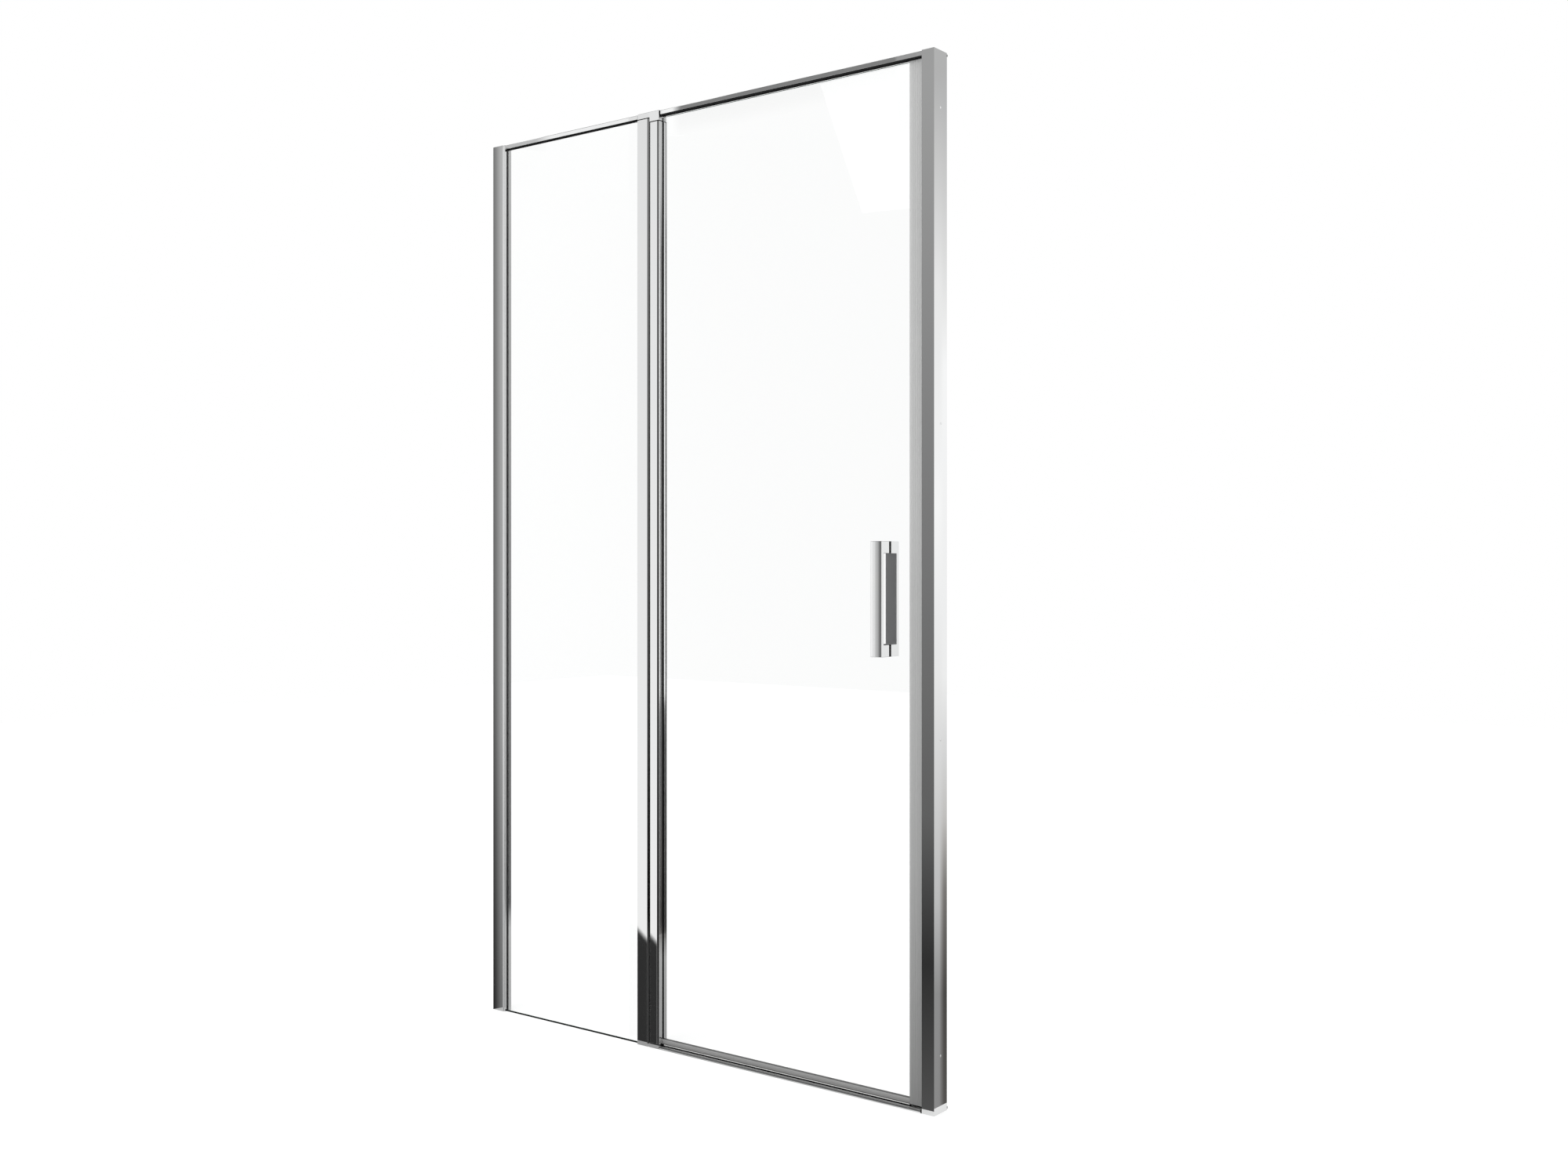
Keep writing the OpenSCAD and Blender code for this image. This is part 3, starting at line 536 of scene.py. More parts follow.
# The finished piece takes a node's place, body and material slot
def standFor(piece, node, material):
    setMaterial(piece, material)
    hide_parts(node)
    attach(piece, bodyOf[node])


# A small piece of the scene's own, with its body and material slot
def addExtra(piece, material, body="frame"):
    setMaterial(piece, material)
    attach(piece, body)


def camelName(node):
    first, *rest = node.split("_")
    return first + "".join(word.capitalize() for word in rest)


# Profiles and castings whose shape comes from the frame, with fine rounded edges

softened = {
    "left_wall_channel": (0.25, uprightMetal),
    "left_glazing_profile": (0.30, uprightMetal),
    "left_post_cap": (0.20, castChrome),
    "fixed_post": (0.35, uprightMetal),
    "left_header_rail": (0.30, railMetal),
    "right_header_rail": (0.30, railMetal),
    "top_pivot_bracket": (0.50, castChrome),
    "bottom_pivot_block": (0.35, castChrome),
    "right_wall_channel": (0.80, uprightMetal),
    "strike_profile": (0.30, uprightMetal),
    "right_post_cap": (0.20, castChrome),
    "door_pivot_profile": (0.35, uprightMetal),
    "right_head_block": (0.30, blackPlastic),
    "top_pivot_bush": (0.20, blackPlastic),
    "bottom_pivot_bush": (0.20, blackPlastic),
    "handle_pads": (0.25, blackRubber),
    "fixed_glass": (0.50, clearGlass),
    "door_glass": (0.50, clearGlass),
}


# Draws a pane's two faces in by a hair, so that glass and rubber don't share one surface
def thinPane(pane, depth):
    middle = sum((v.co.y for v in pane.data.vertices)) / len(pane.data.vertices)
    edit(pane)
    for side in (-1, 1):
        pickParts(pane, "verts", lambda co: (co.y - middle) * side > 0)
        bpy.ops.transform.translate(value=(0, -side * depth, 0))
    leaveEdit()


# The header's front edges: soft all round and rounder along the top. The drilled back stays sharp.
def softenFront(piece, width, crest):
    front = min(v.co.y for v in piece.data.vertices)
    top = max(v.co.z for v in piece.data.vertices)
    choose(piece)
    smoothBelow(30)
    edit(piece)
    pickParts(piece, "edges", lambda co: co.y < front + hair)
    bpy.ops.transform.edge_bevelweight(value=width / crest)
    pickParts(piece, "edges", lambda co: co.y < front + hair and co.z > top - hair)
    bpy.ops.transform.edge_bevelweight(value=1 - width / crest)
    return applyModifier(
        piece, "BEVEL", width=crest, segments=4, limit_method="WEIGHT", harden_normals=True)


crested = {"left_header_rail": 0.9 * mm, "right_header_rail": 0.9 * mm, "top_pivot_bracket": 0.7 * mm}
paneDraw = 0.03 * mm
for node, (width, material) in softened.items():
    piece = copyNode(node, camelName(node))
    if material is clearGlass:
        thinPane(piece, paneDraw)
    if node in crested:
        softenFront(piece, width * mm, crested[node])
    else:
        softenEdges(piece, width * mm)
    standFor(piece, node, material)
print("profiles and glass dressed:", len(softened))

for node in ("fixed_glass", "door_glass"):
    pane = bpy.data.objects[camelName(node)]
    pane.visible_shadow = False      # clear glass lets the studio light through
    pane.visible_diffuse = False


# Screws: a pan head with a six-sided socket, made once for each size and copied to each place

def makeScrew(plan):
    high = plan["headHigh"]
    head = addRod("screwHead", (0, 0, high / 2), plan["headRadius"], high)
    roundRim(head, plan["headRadius"], lambda z: z > 0.99 * high, plan["crown"], 5)
    socket = addRod("socket", (0, 0, high), plan["socketRadius"], 2 * plan["socketDeep"], sides=6)
    softenEdges(cutWith(head, socket), plan["socketEdge"], angle=25.0)
    radius, long = plan["shankRadius"], plan["shankLong"]
    shank = addRod("screwShank", (0, 0, -long / 2), radius, long, sides=32)
    roundRim(shank, radius, lambda z: z < -0.99 * long, plan["tipEdge"], 1)
    smoothBelow(30)
    return joinPieces([shank, head], "screw")


clampScrew = {
    "headRadius": 4 * mm, "headHigh": 2 * mm, "crown": 1.1 * mm, "socketRadius": 1.7 * mm,
    "socketDeep": 1.1 * mm, "socketEdge": 0.06 * mm, "shankRadius": 2 * mm, "tipEdge": 0.5 * mm,
    "levels": (0.150, 0.975, 1.800),
}
jointScrew = {
    **clampScrew, "headRadius": 2.6 * mm, "headHigh": 1.4 * mm, "crown": 0.8 * mm,
    "socketRadius": 1.15 * mm, "socketDeep": 0.7 * mm, "shankRadius": 1.5 * mm, "shankLong": 4 * mm,
}


# Screws that go in from behind, their heads on the rear face
def driveFromBehind(node, levels):
    low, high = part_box(node)
    seat = high.y - clampScrew["headHigh"]
    first = makeScrew({**clampScrew, "shankLong": seat - low.y})
    middle = (low.x + high.x) / 2
    spots = [(middle, seat, level) for level in levels]
    standFor(repeatPiece(first, spots, (-90, 0, 0), camelName(node)), node, turnedSteel)


driveFromBehind("left_clamp_screws", clampScrew["levels"])
driveFromBehind("right_clamp_screws", clampScrew["levels"])
bracketLow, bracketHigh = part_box("pivot_bracket_screws")
driveFromBehind("pivot_bracket_screws", (
    bracketLow.z + clampScrew["headRadius"], bracketHigh.z - clampScrew["headRadius"]))

low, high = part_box("header_joint_screws")
first = makeScrew(jointScrew)
inset = jointScrew["headRadius"]
seat = high.z - jointScrew["headHigh"]
spots = [(x, (low.y + high.y) / 2, seat) for x in (low.x + inset, high.x - inset)]
screws = repeatPiece(first, spots, (0, 0, 0), "headerJointScrews")
standFor(screws, "header_joint_screws", turnedSteel)
print("screws made")


# Handle: two crowned grips on feet, one on each side of the door glass

handle = {
    "crownSteps": 28, "crown": 1.7 * mm, "gripThick": 7.5 * mm, "footHigh": 22.5 * mm, "edge": 0.6 * mm,
    "boltLevels": (845.25 * mm, 1038.75 * mm), "recess": 5.5 * mm, "recessFloor": 32 * mm,
    "bore": 3.05 * mm, "boreLong": 60 * mm, "capRadius": 5.35 * mm, "capRound": 1.0 * mm,
}


# One half, with its crowned face towards the front
def makeHandleHalf(name, low, high):
    wide, steps = high.x - low.x, handle["crownSteps"]
    flat = low.y + handle["crown"]
    inner = flat + handle["gripThick"]
    shares = [i / steps for i in range(steps + 1)]
    crown = [(low.x + wide * u, flat - 4 * handle["crown"] * u * (1 - u)) for u in shares]
    half = drawOut(name, [[(low.x, inner), *crown, (high.x, inner)]], "Z", low.z, high.z)
    edit(half)
    for level in (low.z + handle["footHigh"], high.z - handle["footHigh"]):
        pickAll()
        bpy.ops.mesh.bisect(plane_co=(0, 0, level), plane_no=(0, 0, 1))
    middle, reach = (low.z + high.z) / 2, (high.z - low.z) / 2 - handle["footHigh"]
    pickParts(half, "faces", lambda co, normal: normal.y > 0.9 and abs(co.z - middle) > reach)
    bpy.ops.mesh.extrude_region_move(TRANSFORM_OT_translate={"value": (0, high.y - inner, 0)})
    pickAll()
    bpy.ops.mesh.remove_doubles(threshold=weldGap)
    faceOutwards()
    return half


low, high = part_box("handle_outer")
outer = makeHandleHalf("handleOuter", low, high)
standFor(softenEdges(outer, handle["edge"], segments=3), "handle_outer", handleChrome)

low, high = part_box("handle_inner")
inner = makeHandleHalf("handleInner", Vector((low.x, -high.y, low.z)), Vector((high.x, -low.y, high.z)))
choose(inner)
bpy.ops.transform.mirror(orient_type="GLOBAL", constraint_axis=(False, True, False))
middle, sideways = (low.x + high.x) / 2, (math.radians(90), 0, 0)
for level in handle["boltLevels"]:
    deep = high.y - handle["recessFloor"]
    cutWith(inner, addRod("recess", (middle, high.y, level), handle["recess"], 2 * deep, sideways))
    cutWith(inner, addRod("bore", (middle, low.y, level), handle["bore"], handle["boreLong"], sideways))
settle(inner, "handleInner")
edit(inner)
faceOutwards()
standFor(softenEdges(inner, handle["edge"], segments=3, angle=20.0), "handle_inner", handleChrome)

low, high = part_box("handle_bolt_caps")
cap = addRod("boltCap", (0, 0, -(high.y - low.y) / 2), handle["capRadius"], high.y - low.y)
roundRim(cap, handle["capRadius"], lambda z: z > -0.1 * mm, handle["capRound"], 6)
smoothBelow(30)
spots = [((low.x + high.x) / 2, high.y, level) for level in handle["boltLevels"]]
standFor(repeatPiece(cap, spots, (-90, 0, 0), "handleBoltCaps"), "handle_bolt_caps", castChrome)
print("handle made")


# Glass gaskets: a strip on each side of the pane, with a round bead at the pocket's mouth

gasketBead = {"steps": 8, "reach": 1.9}


def beadedStrip(name, mouth, back, front, rear, bottom, top):
    side = 1 if mouth > back else -1
    radius = (rear - front) / 2
    bead = arc((0, (front + rear) / 2), radius, -90, 90, gasketBead["steps"])
    bead = [(mouth + side * x * gasketBead["reach"], y) for x, y in bead]
    return drawOut(name, [[(back, front), *bead, (back, rear)]], "Z", bottom, top)


def makeGasket(node, mouthRight, pane):
    low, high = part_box(node)
    back, mouth = (low.x, high.x) if mouthRight else (high.x, low.x)
    strips = [beadedStrip("strip", mouth, back, front, rear, low.z, high.z)
              for front, rear in ((low.y, pane[0].y), (pane[1].y, high.y))]
    for strip in strips:
        choose(strip)
        smoothBelow(35)
    standFor(joinPieces(strips, camelName(node)), node, blackRubber)


fixedGlass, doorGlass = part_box("fixed_glass"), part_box("door_glass")
makeGasket("left_glazing_gasket", True, fixedGlass)
makeGasket("fixed_post_gasket", False, fixedGlass)
makeGasket("door_glass_gasket", True, doorGlass)


# Header seal over the door: a soft block with two rounded lips and a shallow channel between them

headerSeal = {"lip": 3.2 * mm, "deep": 0.7 * mm, "rise": 1.3 * mm, "steps": 6}
low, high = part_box("right_header_seal")
lip, deep, rear = headerSeal["lip"], headerSeal["deep"], low.z + headerSeal["rise"]
steps = headerSeal["steps"]
outline = [(low.y, high.z), *arc((low.y + deep, low.z + deep), deep, 180, 270, steps),
           *arc((low.y + lip, low.z + deep), deep, 270, 360, steps), (low.y + lip + deep, rear + deep),
           *arc((high.y - lip, rear + deep), deep, 180, 270, steps),
           *arc((high.y - deep, rear + deep), deep, 270, 360, steps), (high.y, high.z)]
seal = drawOut("rightHeaderSeal", [outline], "X", low.x, high.x)
smoothBelow(35)
standFor(seal, "right_header_seal", railRubber)


# Small rubber trim, seen as thin black lines. Some of it is painted shade: dark pieces put in gaps where shade
# falls.
def addTrim(name, boxes, width, material=blackRubber):
    blocks = [softenEdges(addBlock(name + str(count), *corners), width, angle=30.0)
              for count, corners in enumerate(boxes)]
    addExtra(joinPieces(blocks, name), material)


railTrim = {
    "hang": 1.5 * mm, "rearHang": 0.9 * mm, "thick": 1.7 * mm, "root": 0.4 * mm, "edge": 0.3 * mm,
    "glassGap": 0.06 * mm,
    "padInset": 0.1 * mm, "padOut": 0.12 * mm, "padDeep": 1.0 * mm, "padHigh": 0.5 * mm, "padEdge": 0.1 * mm,
    "sleeveStart": 0.7 * mm, "sleeveOut": 0.1 * mm, "sleeveHang": 0.9 * mm, "sleeveOver": 2.4 * mm,
    "sleeveBack": 0.6 * mm, "sleeveTop": 0.2 * mm, "sleeveEdge": 0.15 * mm,
}
low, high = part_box("left_header_gasket")
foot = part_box("left_header_rail")[0].z
near, far = fixedGlass[0].y - railTrim["glassGap"], fixedGlass[1].y + railTrim["glassGap"]
thick, root = railTrim["thick"], foot + railTrim["root"]
addTrim("leftHeaderLips", [
    ((low.x, near - thick, foot - railTrim["hang"]), (high.x, near, root)),
    ((low.x, far, foot - railTrim["rearHang"]), (high.x, far + thick, root)),
], railTrim["edge"], railRubber)
# A black rim round the bracket's pad, a little larger than it: partly the pad's rubber, partly painted shade
# for the dark gap under the bracket
low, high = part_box("top_bracket_pad")
inset, more = railTrim["padInset"], railTrim["padHigh"]
addTrim("bracketPadRim", [
    ((low.x + inset, low.y - railTrim["padOut"], low.z - more),
     (high.x - inset, low.y + railTrim["padDeep"], high.z + more)),
], railTrim["padEdge"])
# A black sleeve fills the gap between the bracket's end and the right rail: painted shade, a dark piece
# standing for the shade in that gap
bracketEnd, (low, high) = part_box("top_pivot_bracket")[1].x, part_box("right_header_rail")
addTrim("headerEndSleeve", [
    ((bracketEnd + railTrim["sleeveStart"], low.y - railTrim["sleeveOut"], low.z - railTrim["sleeveHang"]),
     (low.x + railTrim["sleeveOver"], high.y - railTrim["sleeveBack"], high.z - railTrim["sleeveTop"])),
], railTrim["sleeveEdge"])


# Clear edge seal: grips the glass, then a hollow nose with the magnet strip in its tip

edgeSeal = {
    "wall": 1.2 * mm, "lipRound": 0.6 * mm, "tipSlope": 0.4 * mm, "mouth": 0.3 * mm,
    "groove": 0.22 * mm, "grooveWide": 0.8 * mm,
    "grooves": (0.28, 0.47, 0.66, 0.80),     # shares of the front, from the glass towards the tip
    "magnetSlot": (1148.7 * mm, 1150.9 * mm),
}


def makeEdgeSeal():
    low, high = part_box("door_edge_seal")
    paneFront, paneBack = doorGlass[0].y, doorGlass[1].y
    edge, wall, lip = doorGlass[1].x, edgeSeal["wall"], edgeSeal["lipRound"]
    slot0, slot1 = edgeSeal["magnetSlot"]
    shoulder = slot0 - wall
    magnetLow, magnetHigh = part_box("door_magnet")
    tip, slope, mouth = high.x, edgeSeal["tipSlope"], low.x + edgeSeal["mouth"]
    half = wall / 2
    front = []
    for share in edgeSeal["grooves"]:
        at = low.x + (shoulder - low.x) * share
        wide = edgeSeal["grooveWide"] / 2
        front += [(at - wide, low.y), (at - wide * 0.4, low.y + edgeSeal["groove"]),
                  (at + wide * 0.4, low.y + edgeSeal["groove"]), (at + wide, low.y)]
    outside = [
        *arc((low.x + lip, low.y + lip), lip, 180, 270, 4), *front, (shoulder, low.y),
        (tip - slope, magnetLow.y - half), (tip, magnetLow.y), (tip, magnetHigh.y),
        (tip - slope, magnetHigh.y + half), (shoulder, high.y),
        *arc((low.x + lip, high.y - lip), lip, 90, 180, 4),
        (mouth, paneBack), (edge, paneBack), (edge, paneFront), (mouth, paneFront),
    ]
    chamber = [(edge + wall, paneFront), (shoulder, paneFront), (shoulder, paneBack), (edge + wall, paneBack)]
    slot = [(slot0, magnetLow.y), (slot1, magnetLow.y), (slot1, magnetHigh.y), (slot0, magnetHigh.y)]
    seal = drawOut("doorEdgeSeal", [outside, chamber, slot], "Z", low.z, high.z)
    smoothBelow(25)
    standFor(seal, "door_edge_seal", uprightSeal)


makeEdgeSeal()


# Clear drip seal under the door: two legs on the glass and two tapered fins below

dripSeal = {
    "wall": 1.2 * mm, "floor": 9.6 * mm, "fin": 0.45 * mm, "finLean": 0.1 * mm, "shoulder": 0.6 * mm,
    "ridge": 0.25 * mm, "ridgeHalf": 0.5 * mm, "ridgeLevels": (13.2 * mm, 16.6 * mm),
}


def makeDripSeal():
    low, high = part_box("door_drip_seal")
    paneFront, paneBack, paneFoot = doorGlass[0].y, doorGlass[1].y, doorGlass[0].z
    wall, floor, fin = dripSeal["wall"], dripSeal["floor"], dripSeal["fin"]
    half, lean, shoulder = wall / 2, dripSeal["finLean"], floor + dripSeal["shoulder"]
    inward, rise, ridges = low.y + dripSeal["ridge"], dripSeal["ridgeHalf"], []
    for level in dripSeal["ridgeLevels"]:
        ridges += [(inward, level - rise), (low.y, level), (inward, level + rise)]
    outline = [
        (low.y, shoulder), (low.y + lean, low.z), (low.y + fin, low.z), (low.y + wall, floor),
        (high.y - wall, floor), (high.y - fin, low.z), (high.y - lean, low.z), (high.y, shoulder),
        *arc((high.y - half, high.z - half), half, 0, 180, 8), (paneBack, paneFoot), (paneFront, paneFoot),
        *arc((low.y + half, high.z - half), half, 0, 180, 8), *reversed(ridges),
    ]
    seal = drawOut("doorDripSeal", [outline], "X", low.x, high.x)
    smoothBelow(35)
    standFor(seal, "door_drip_seal", railSeal)


makeDripSeal()


# Under the drip seal: a soft black wiper lip and, in front of it, a shorter pale one.
# Both stay just above the threshold's caps.
wiper = {
    "start": 4.5 * mm, "edge": 0.12 * mm,
    "thick": 1.6 * mm, "tip": 0.5 * mm, "lean": 1.2 * mm,
    "forward": 1.5 * mm, "root": 1.25 * mm, "low": 5.75 * mm,
    "paleThick": 0.7 * mm, "paleTip": 0.4 * mm, "paleInset": 0.1 * mm,
    "paleTop": 8.2 * mm, "paleLow": 6.7 * mm,
}


def makeLip(name, middle, thick, tip, lean, top, foot):
    knee = foot + (top - foot) * 0.55
    outline = [
        (middle - thick / 2, top), (middle - thick / 2, knee),
        (middle - lean - tip / 2, foot), (middle - lean + tip / 2, foot),
        (middle + thick / 2, knee), (middle + thick / 2, top),
    ]
    lip = drawOut(name, [outline], "X", low.x + wiper["start"], high.x)
    return softenEdges(lip, wiper["edge"], angle=20.0)


low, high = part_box("door_drip_seal")
blackLip = makeLip(
    "doorWiperLip", (low.y + high.y) / 2 - wiper["forward"], wiper["thick"], wiper["tip"], wiper["lean"],
    low.z + wiper["root"], wiper["low"])
addExtra(blackLip, blackRubber, "door")
paleLip = makeLip(
    "doorSoftLip", low.y + wiper["paleInset"], wiper["paleThick"], wiper["paleTip"], 0.0,
    wiper["paleTop"], wiper["paleLow"])
addExtra(paleLip, softLipSeal, "door")

# A low rubber dam on the threshold, behind the door's seal
dam = {"front": 17.4 * mm, "wide": 1.9 * mm, "root": 4.7 * mm, "top": 8.0 * mm, "gap": 0.5 * mm}
leftCapLow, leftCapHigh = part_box("threshold_left_cap")
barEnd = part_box("threshold_right_cap")[1].x
front, half = dam["front"], dam["wide"] / 2
outline = [(front, dam["root"]), *arc((front + half, dam["top"] - half), half, 180, 0, 10),
           (front + dam["wide"], dam["root"])]
damStrip = drawOut("thresholdDam", [outline], "X", leftCapLow.x + dam["gap"], barEnd - dam["gap"])
smoothBelow(35)
addExtra(damStrip, blackRubber)

# A flat rubber insert in the threshold's groove, under the door's lips
insert = {
    "front": 7.2 * mm, "back": 13.6 * mm, "root": 4.3 * mm, "top": 5.3 * mm, "shoulder": 4.95 * mm,
    "frontSlope": 0.5 * mm, "backSlope": 0.4 * mm, "backDrop": 0.3 * mm, "inset": 0.1 * mm, "edge": 0.1 * mm,
}
low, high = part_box("threshold_bar")
front, back, top = insert["front"], insert["back"], insert["top"]
outline = [
    (front, insert["root"]), (front, insert["shoulder"]), (front + insert["frontSlope"], top),
    (back - insert["backSlope"], top), (back, top - insert["backDrop"]), (back, insert["root"]),
]
insertStrip = drawOut("thresholdInsert", [outline], "X", low.x + insert["inset"], high.x - insert["inset"])
addExtra(softenEdges(insertStrip, insert["edge"], angle=20.0), blackRubber)

# A soft black block fills the gap between the threshold's right cap and the right post: painted shade, a dark
# piece standing for the shade in that gap.
# A thin black pad lies on the left cap: partly the end of the door's black lip, partly painted shade.
endBlock = {
    "gap": 0.1 * mm, "postGap": 0.05 * mm, "front": 0.1 * mm, "back": 19 * mm, "top": 6.4 * mm,
    "edge": 0.3 * mm,
}
capPad = {"inset": 0.4 * mm, "sunk": 0.6 * mm, "proud": 0.17 * mm, "edge": 0.06 * mm}
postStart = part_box("right_wall_channel")[0].x
addTrim("thresholdEndBlock", [
    ((barEnd + endBlock["gap"], endBlock["front"], 0.0),
     (postStart - endBlock["postGap"], endBlock["back"], endBlock["top"])),
], endBlock["edge"])
addTrim("thresholdLeftPad", [
    ((leftCapLow.x + capPad["inset"], front, leftCapHigh.z - capPad["sunk"]),
     (leftCapHigh.x, back, leftCapHigh.z + capPad["proud"])),
], capPad["edge"])
print("gaskets and seals made")


# Threshold: a low bar with a round nose and a groove behind it, between two raised caps

threshold = {
    "nose": 9 * mm, "lip": 1.5 * mm, "steps": 20, "backSlope": 2 * mm,
    "groove": (11.0 * mm, 13.4 * mm), "grooveDeep": 0.7 * mm, "grooveSlope": 0.4 * mm, "edge": 0.25 * mm,
}


def makeThreshold(node, material, grooved):
    low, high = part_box(node)
    nose, lip, top = threshold["nose"], threshold["lip"], high.z
    outline = [(low.y, low.z)]
    for y, z in arc((0, 0), 1.0, 180, 90, threshold["steps"]):
        outline.append((low.y + nose * (1 + y), low.z + lip + (top - low.z - lip) * z))
    if grooved:
        near, far = threshold["groove"]
        sunk, slant = top - threshold["grooveDeep"], threshold["grooveSlope"]
        outline += [(near, top), (near + slant, sunk), (far - slant, sunk), (far, top)]
    slope = threshold["backSlope"]
    outline += [(high.y - slope, top), (high.y, top - slope), (high.y, low.z)]
    piece = drawOut(camelName(node), [outline], "X", low.x, high.x)
    standFor(softenEdges(piece, threshold["edge"], angle=24.0), node, material)


makeThreshold("threshold_bar", railMetal, True)
makeThreshold("threshold_left_cap", castChrome, False)
makeThreshold("threshold_right_cap", castChrome, False)
print("threshold made")


# Polished plugs, set flush, close the wall-screw holes on the side that shows
holePlug = {"radius": 2.46 * mm, "thick": 1.2 * mm, "sunk": 0.03 * mm, "edge": 0.12 * mm,
            "levels": (105 * mm, 685 * mm, 1265 * mm, 1845 * mm)}
low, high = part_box("right_wall_channel")
plug = addRod("plug", (0, 0, -holePlug["thick"] / 2), holePlug["radius"], holePlug["thick"])
roundRim(plug, holePlug["radius"], lambda z: z > -0.1 * mm, holePlug["edge"], 3)
smoothBelow(30)
spots = [(high.x - holePlug["sunk"], (low.y + high.y) / 2, level) for level in holePlug["levels"]]
addExtra(repeatPiece(plug, spots, (0, 90, 0), "rightHolePlugs"), uprightMetal)

# Small black buffers behind the right post's top and bottom corners
buffer = {
    "wide": 4.0 * mm, "thick": 2.4 * mm, "root": 0.2 * mm, "tall": 4.2 * mm, "inset": 2.2 * mm,
    "edge": 0.3 * mm,
}
addTrim("rightRearBuffers", [
    ((high.x - buffer["wide"], high.y - buffer["root"], level),
     (high.x, high.y + buffer["thick"], level + buffer["tall"]))
    for level in (low.z + buffer["inset"], high.z - buffer["inset"] - buffer["tall"])
], buffer["edge"])

# Nodes that keep their own mesh
plain = {
    "left_header_tongue": turnedSteel, "header_joint_bar": turnedSteel,
    "top_pivot_pin": turnedSteel, "bottom_pivot_pin": turnedSteel, "handle_bolts": turnedSteel,
    "bottom_thrust_washer": blackPlastic, "handle_sleeves": blackPlastic,
    "top_bracket_pad": blackRubber, "fixed_glass_foot_seal": blackRubber,
    "strike_magnet": magnetStrip, "door_magnet": magnetStrip,
    "left_header_gasket": blackRubber, "pivot_gap_seal": blackRubber, "strike_seal": uprightSeal,
}
for node, material in plain.items():
    setMaterial(frame["nodes"][node], material)


# The studio

studio = {
    "fill": 0.88,                # light from all round on what isn't polished
    "gain": 1.13,                # makes up for what the metal swallows
    "top": 238, "topFrom": 76, "topSoft": 6,
    "rim": 95,                   # a darker ring high up, which draws the polished edges
    "rimFrom": 22, "rimSoft": 3, "rimEnd": 80, "rimEndSoft": 8,
    "behind": (112, 154), "behindSoft": 4, "behindRise": 18,       # the ring starts higher there
    "floor": 190, "floorFrom": -34, "floorSoft": 14,
    "foot": 0.72, "footFrom": -20, "footSoft": 16,                 # the walls' share of light at their foot
    "warmTint": (1.0, 0.88, 0.78), "warmFrom": -7, "warmSoft": 5,
    # brightness all round as polished metal sees it: azimuth in degrees, display level from 0 to 255
    "walls": [
        (-180, 70), (-159, 64), (-156.4, 238), (-136, 238), (-132.3, 220), (-130, 214), (-124.6, 204),
        (-115, 172), (-105, 146), (-97, 80), (-82, 96), (-66, 225), (-40, 250), (-10, 250), (25, 225),
        (44, 200), (52, 235), (55.7, 250), (62, 235), (85, 170), (108, 110), (128, 62), (150, 66), (180, 70),
    ],
}
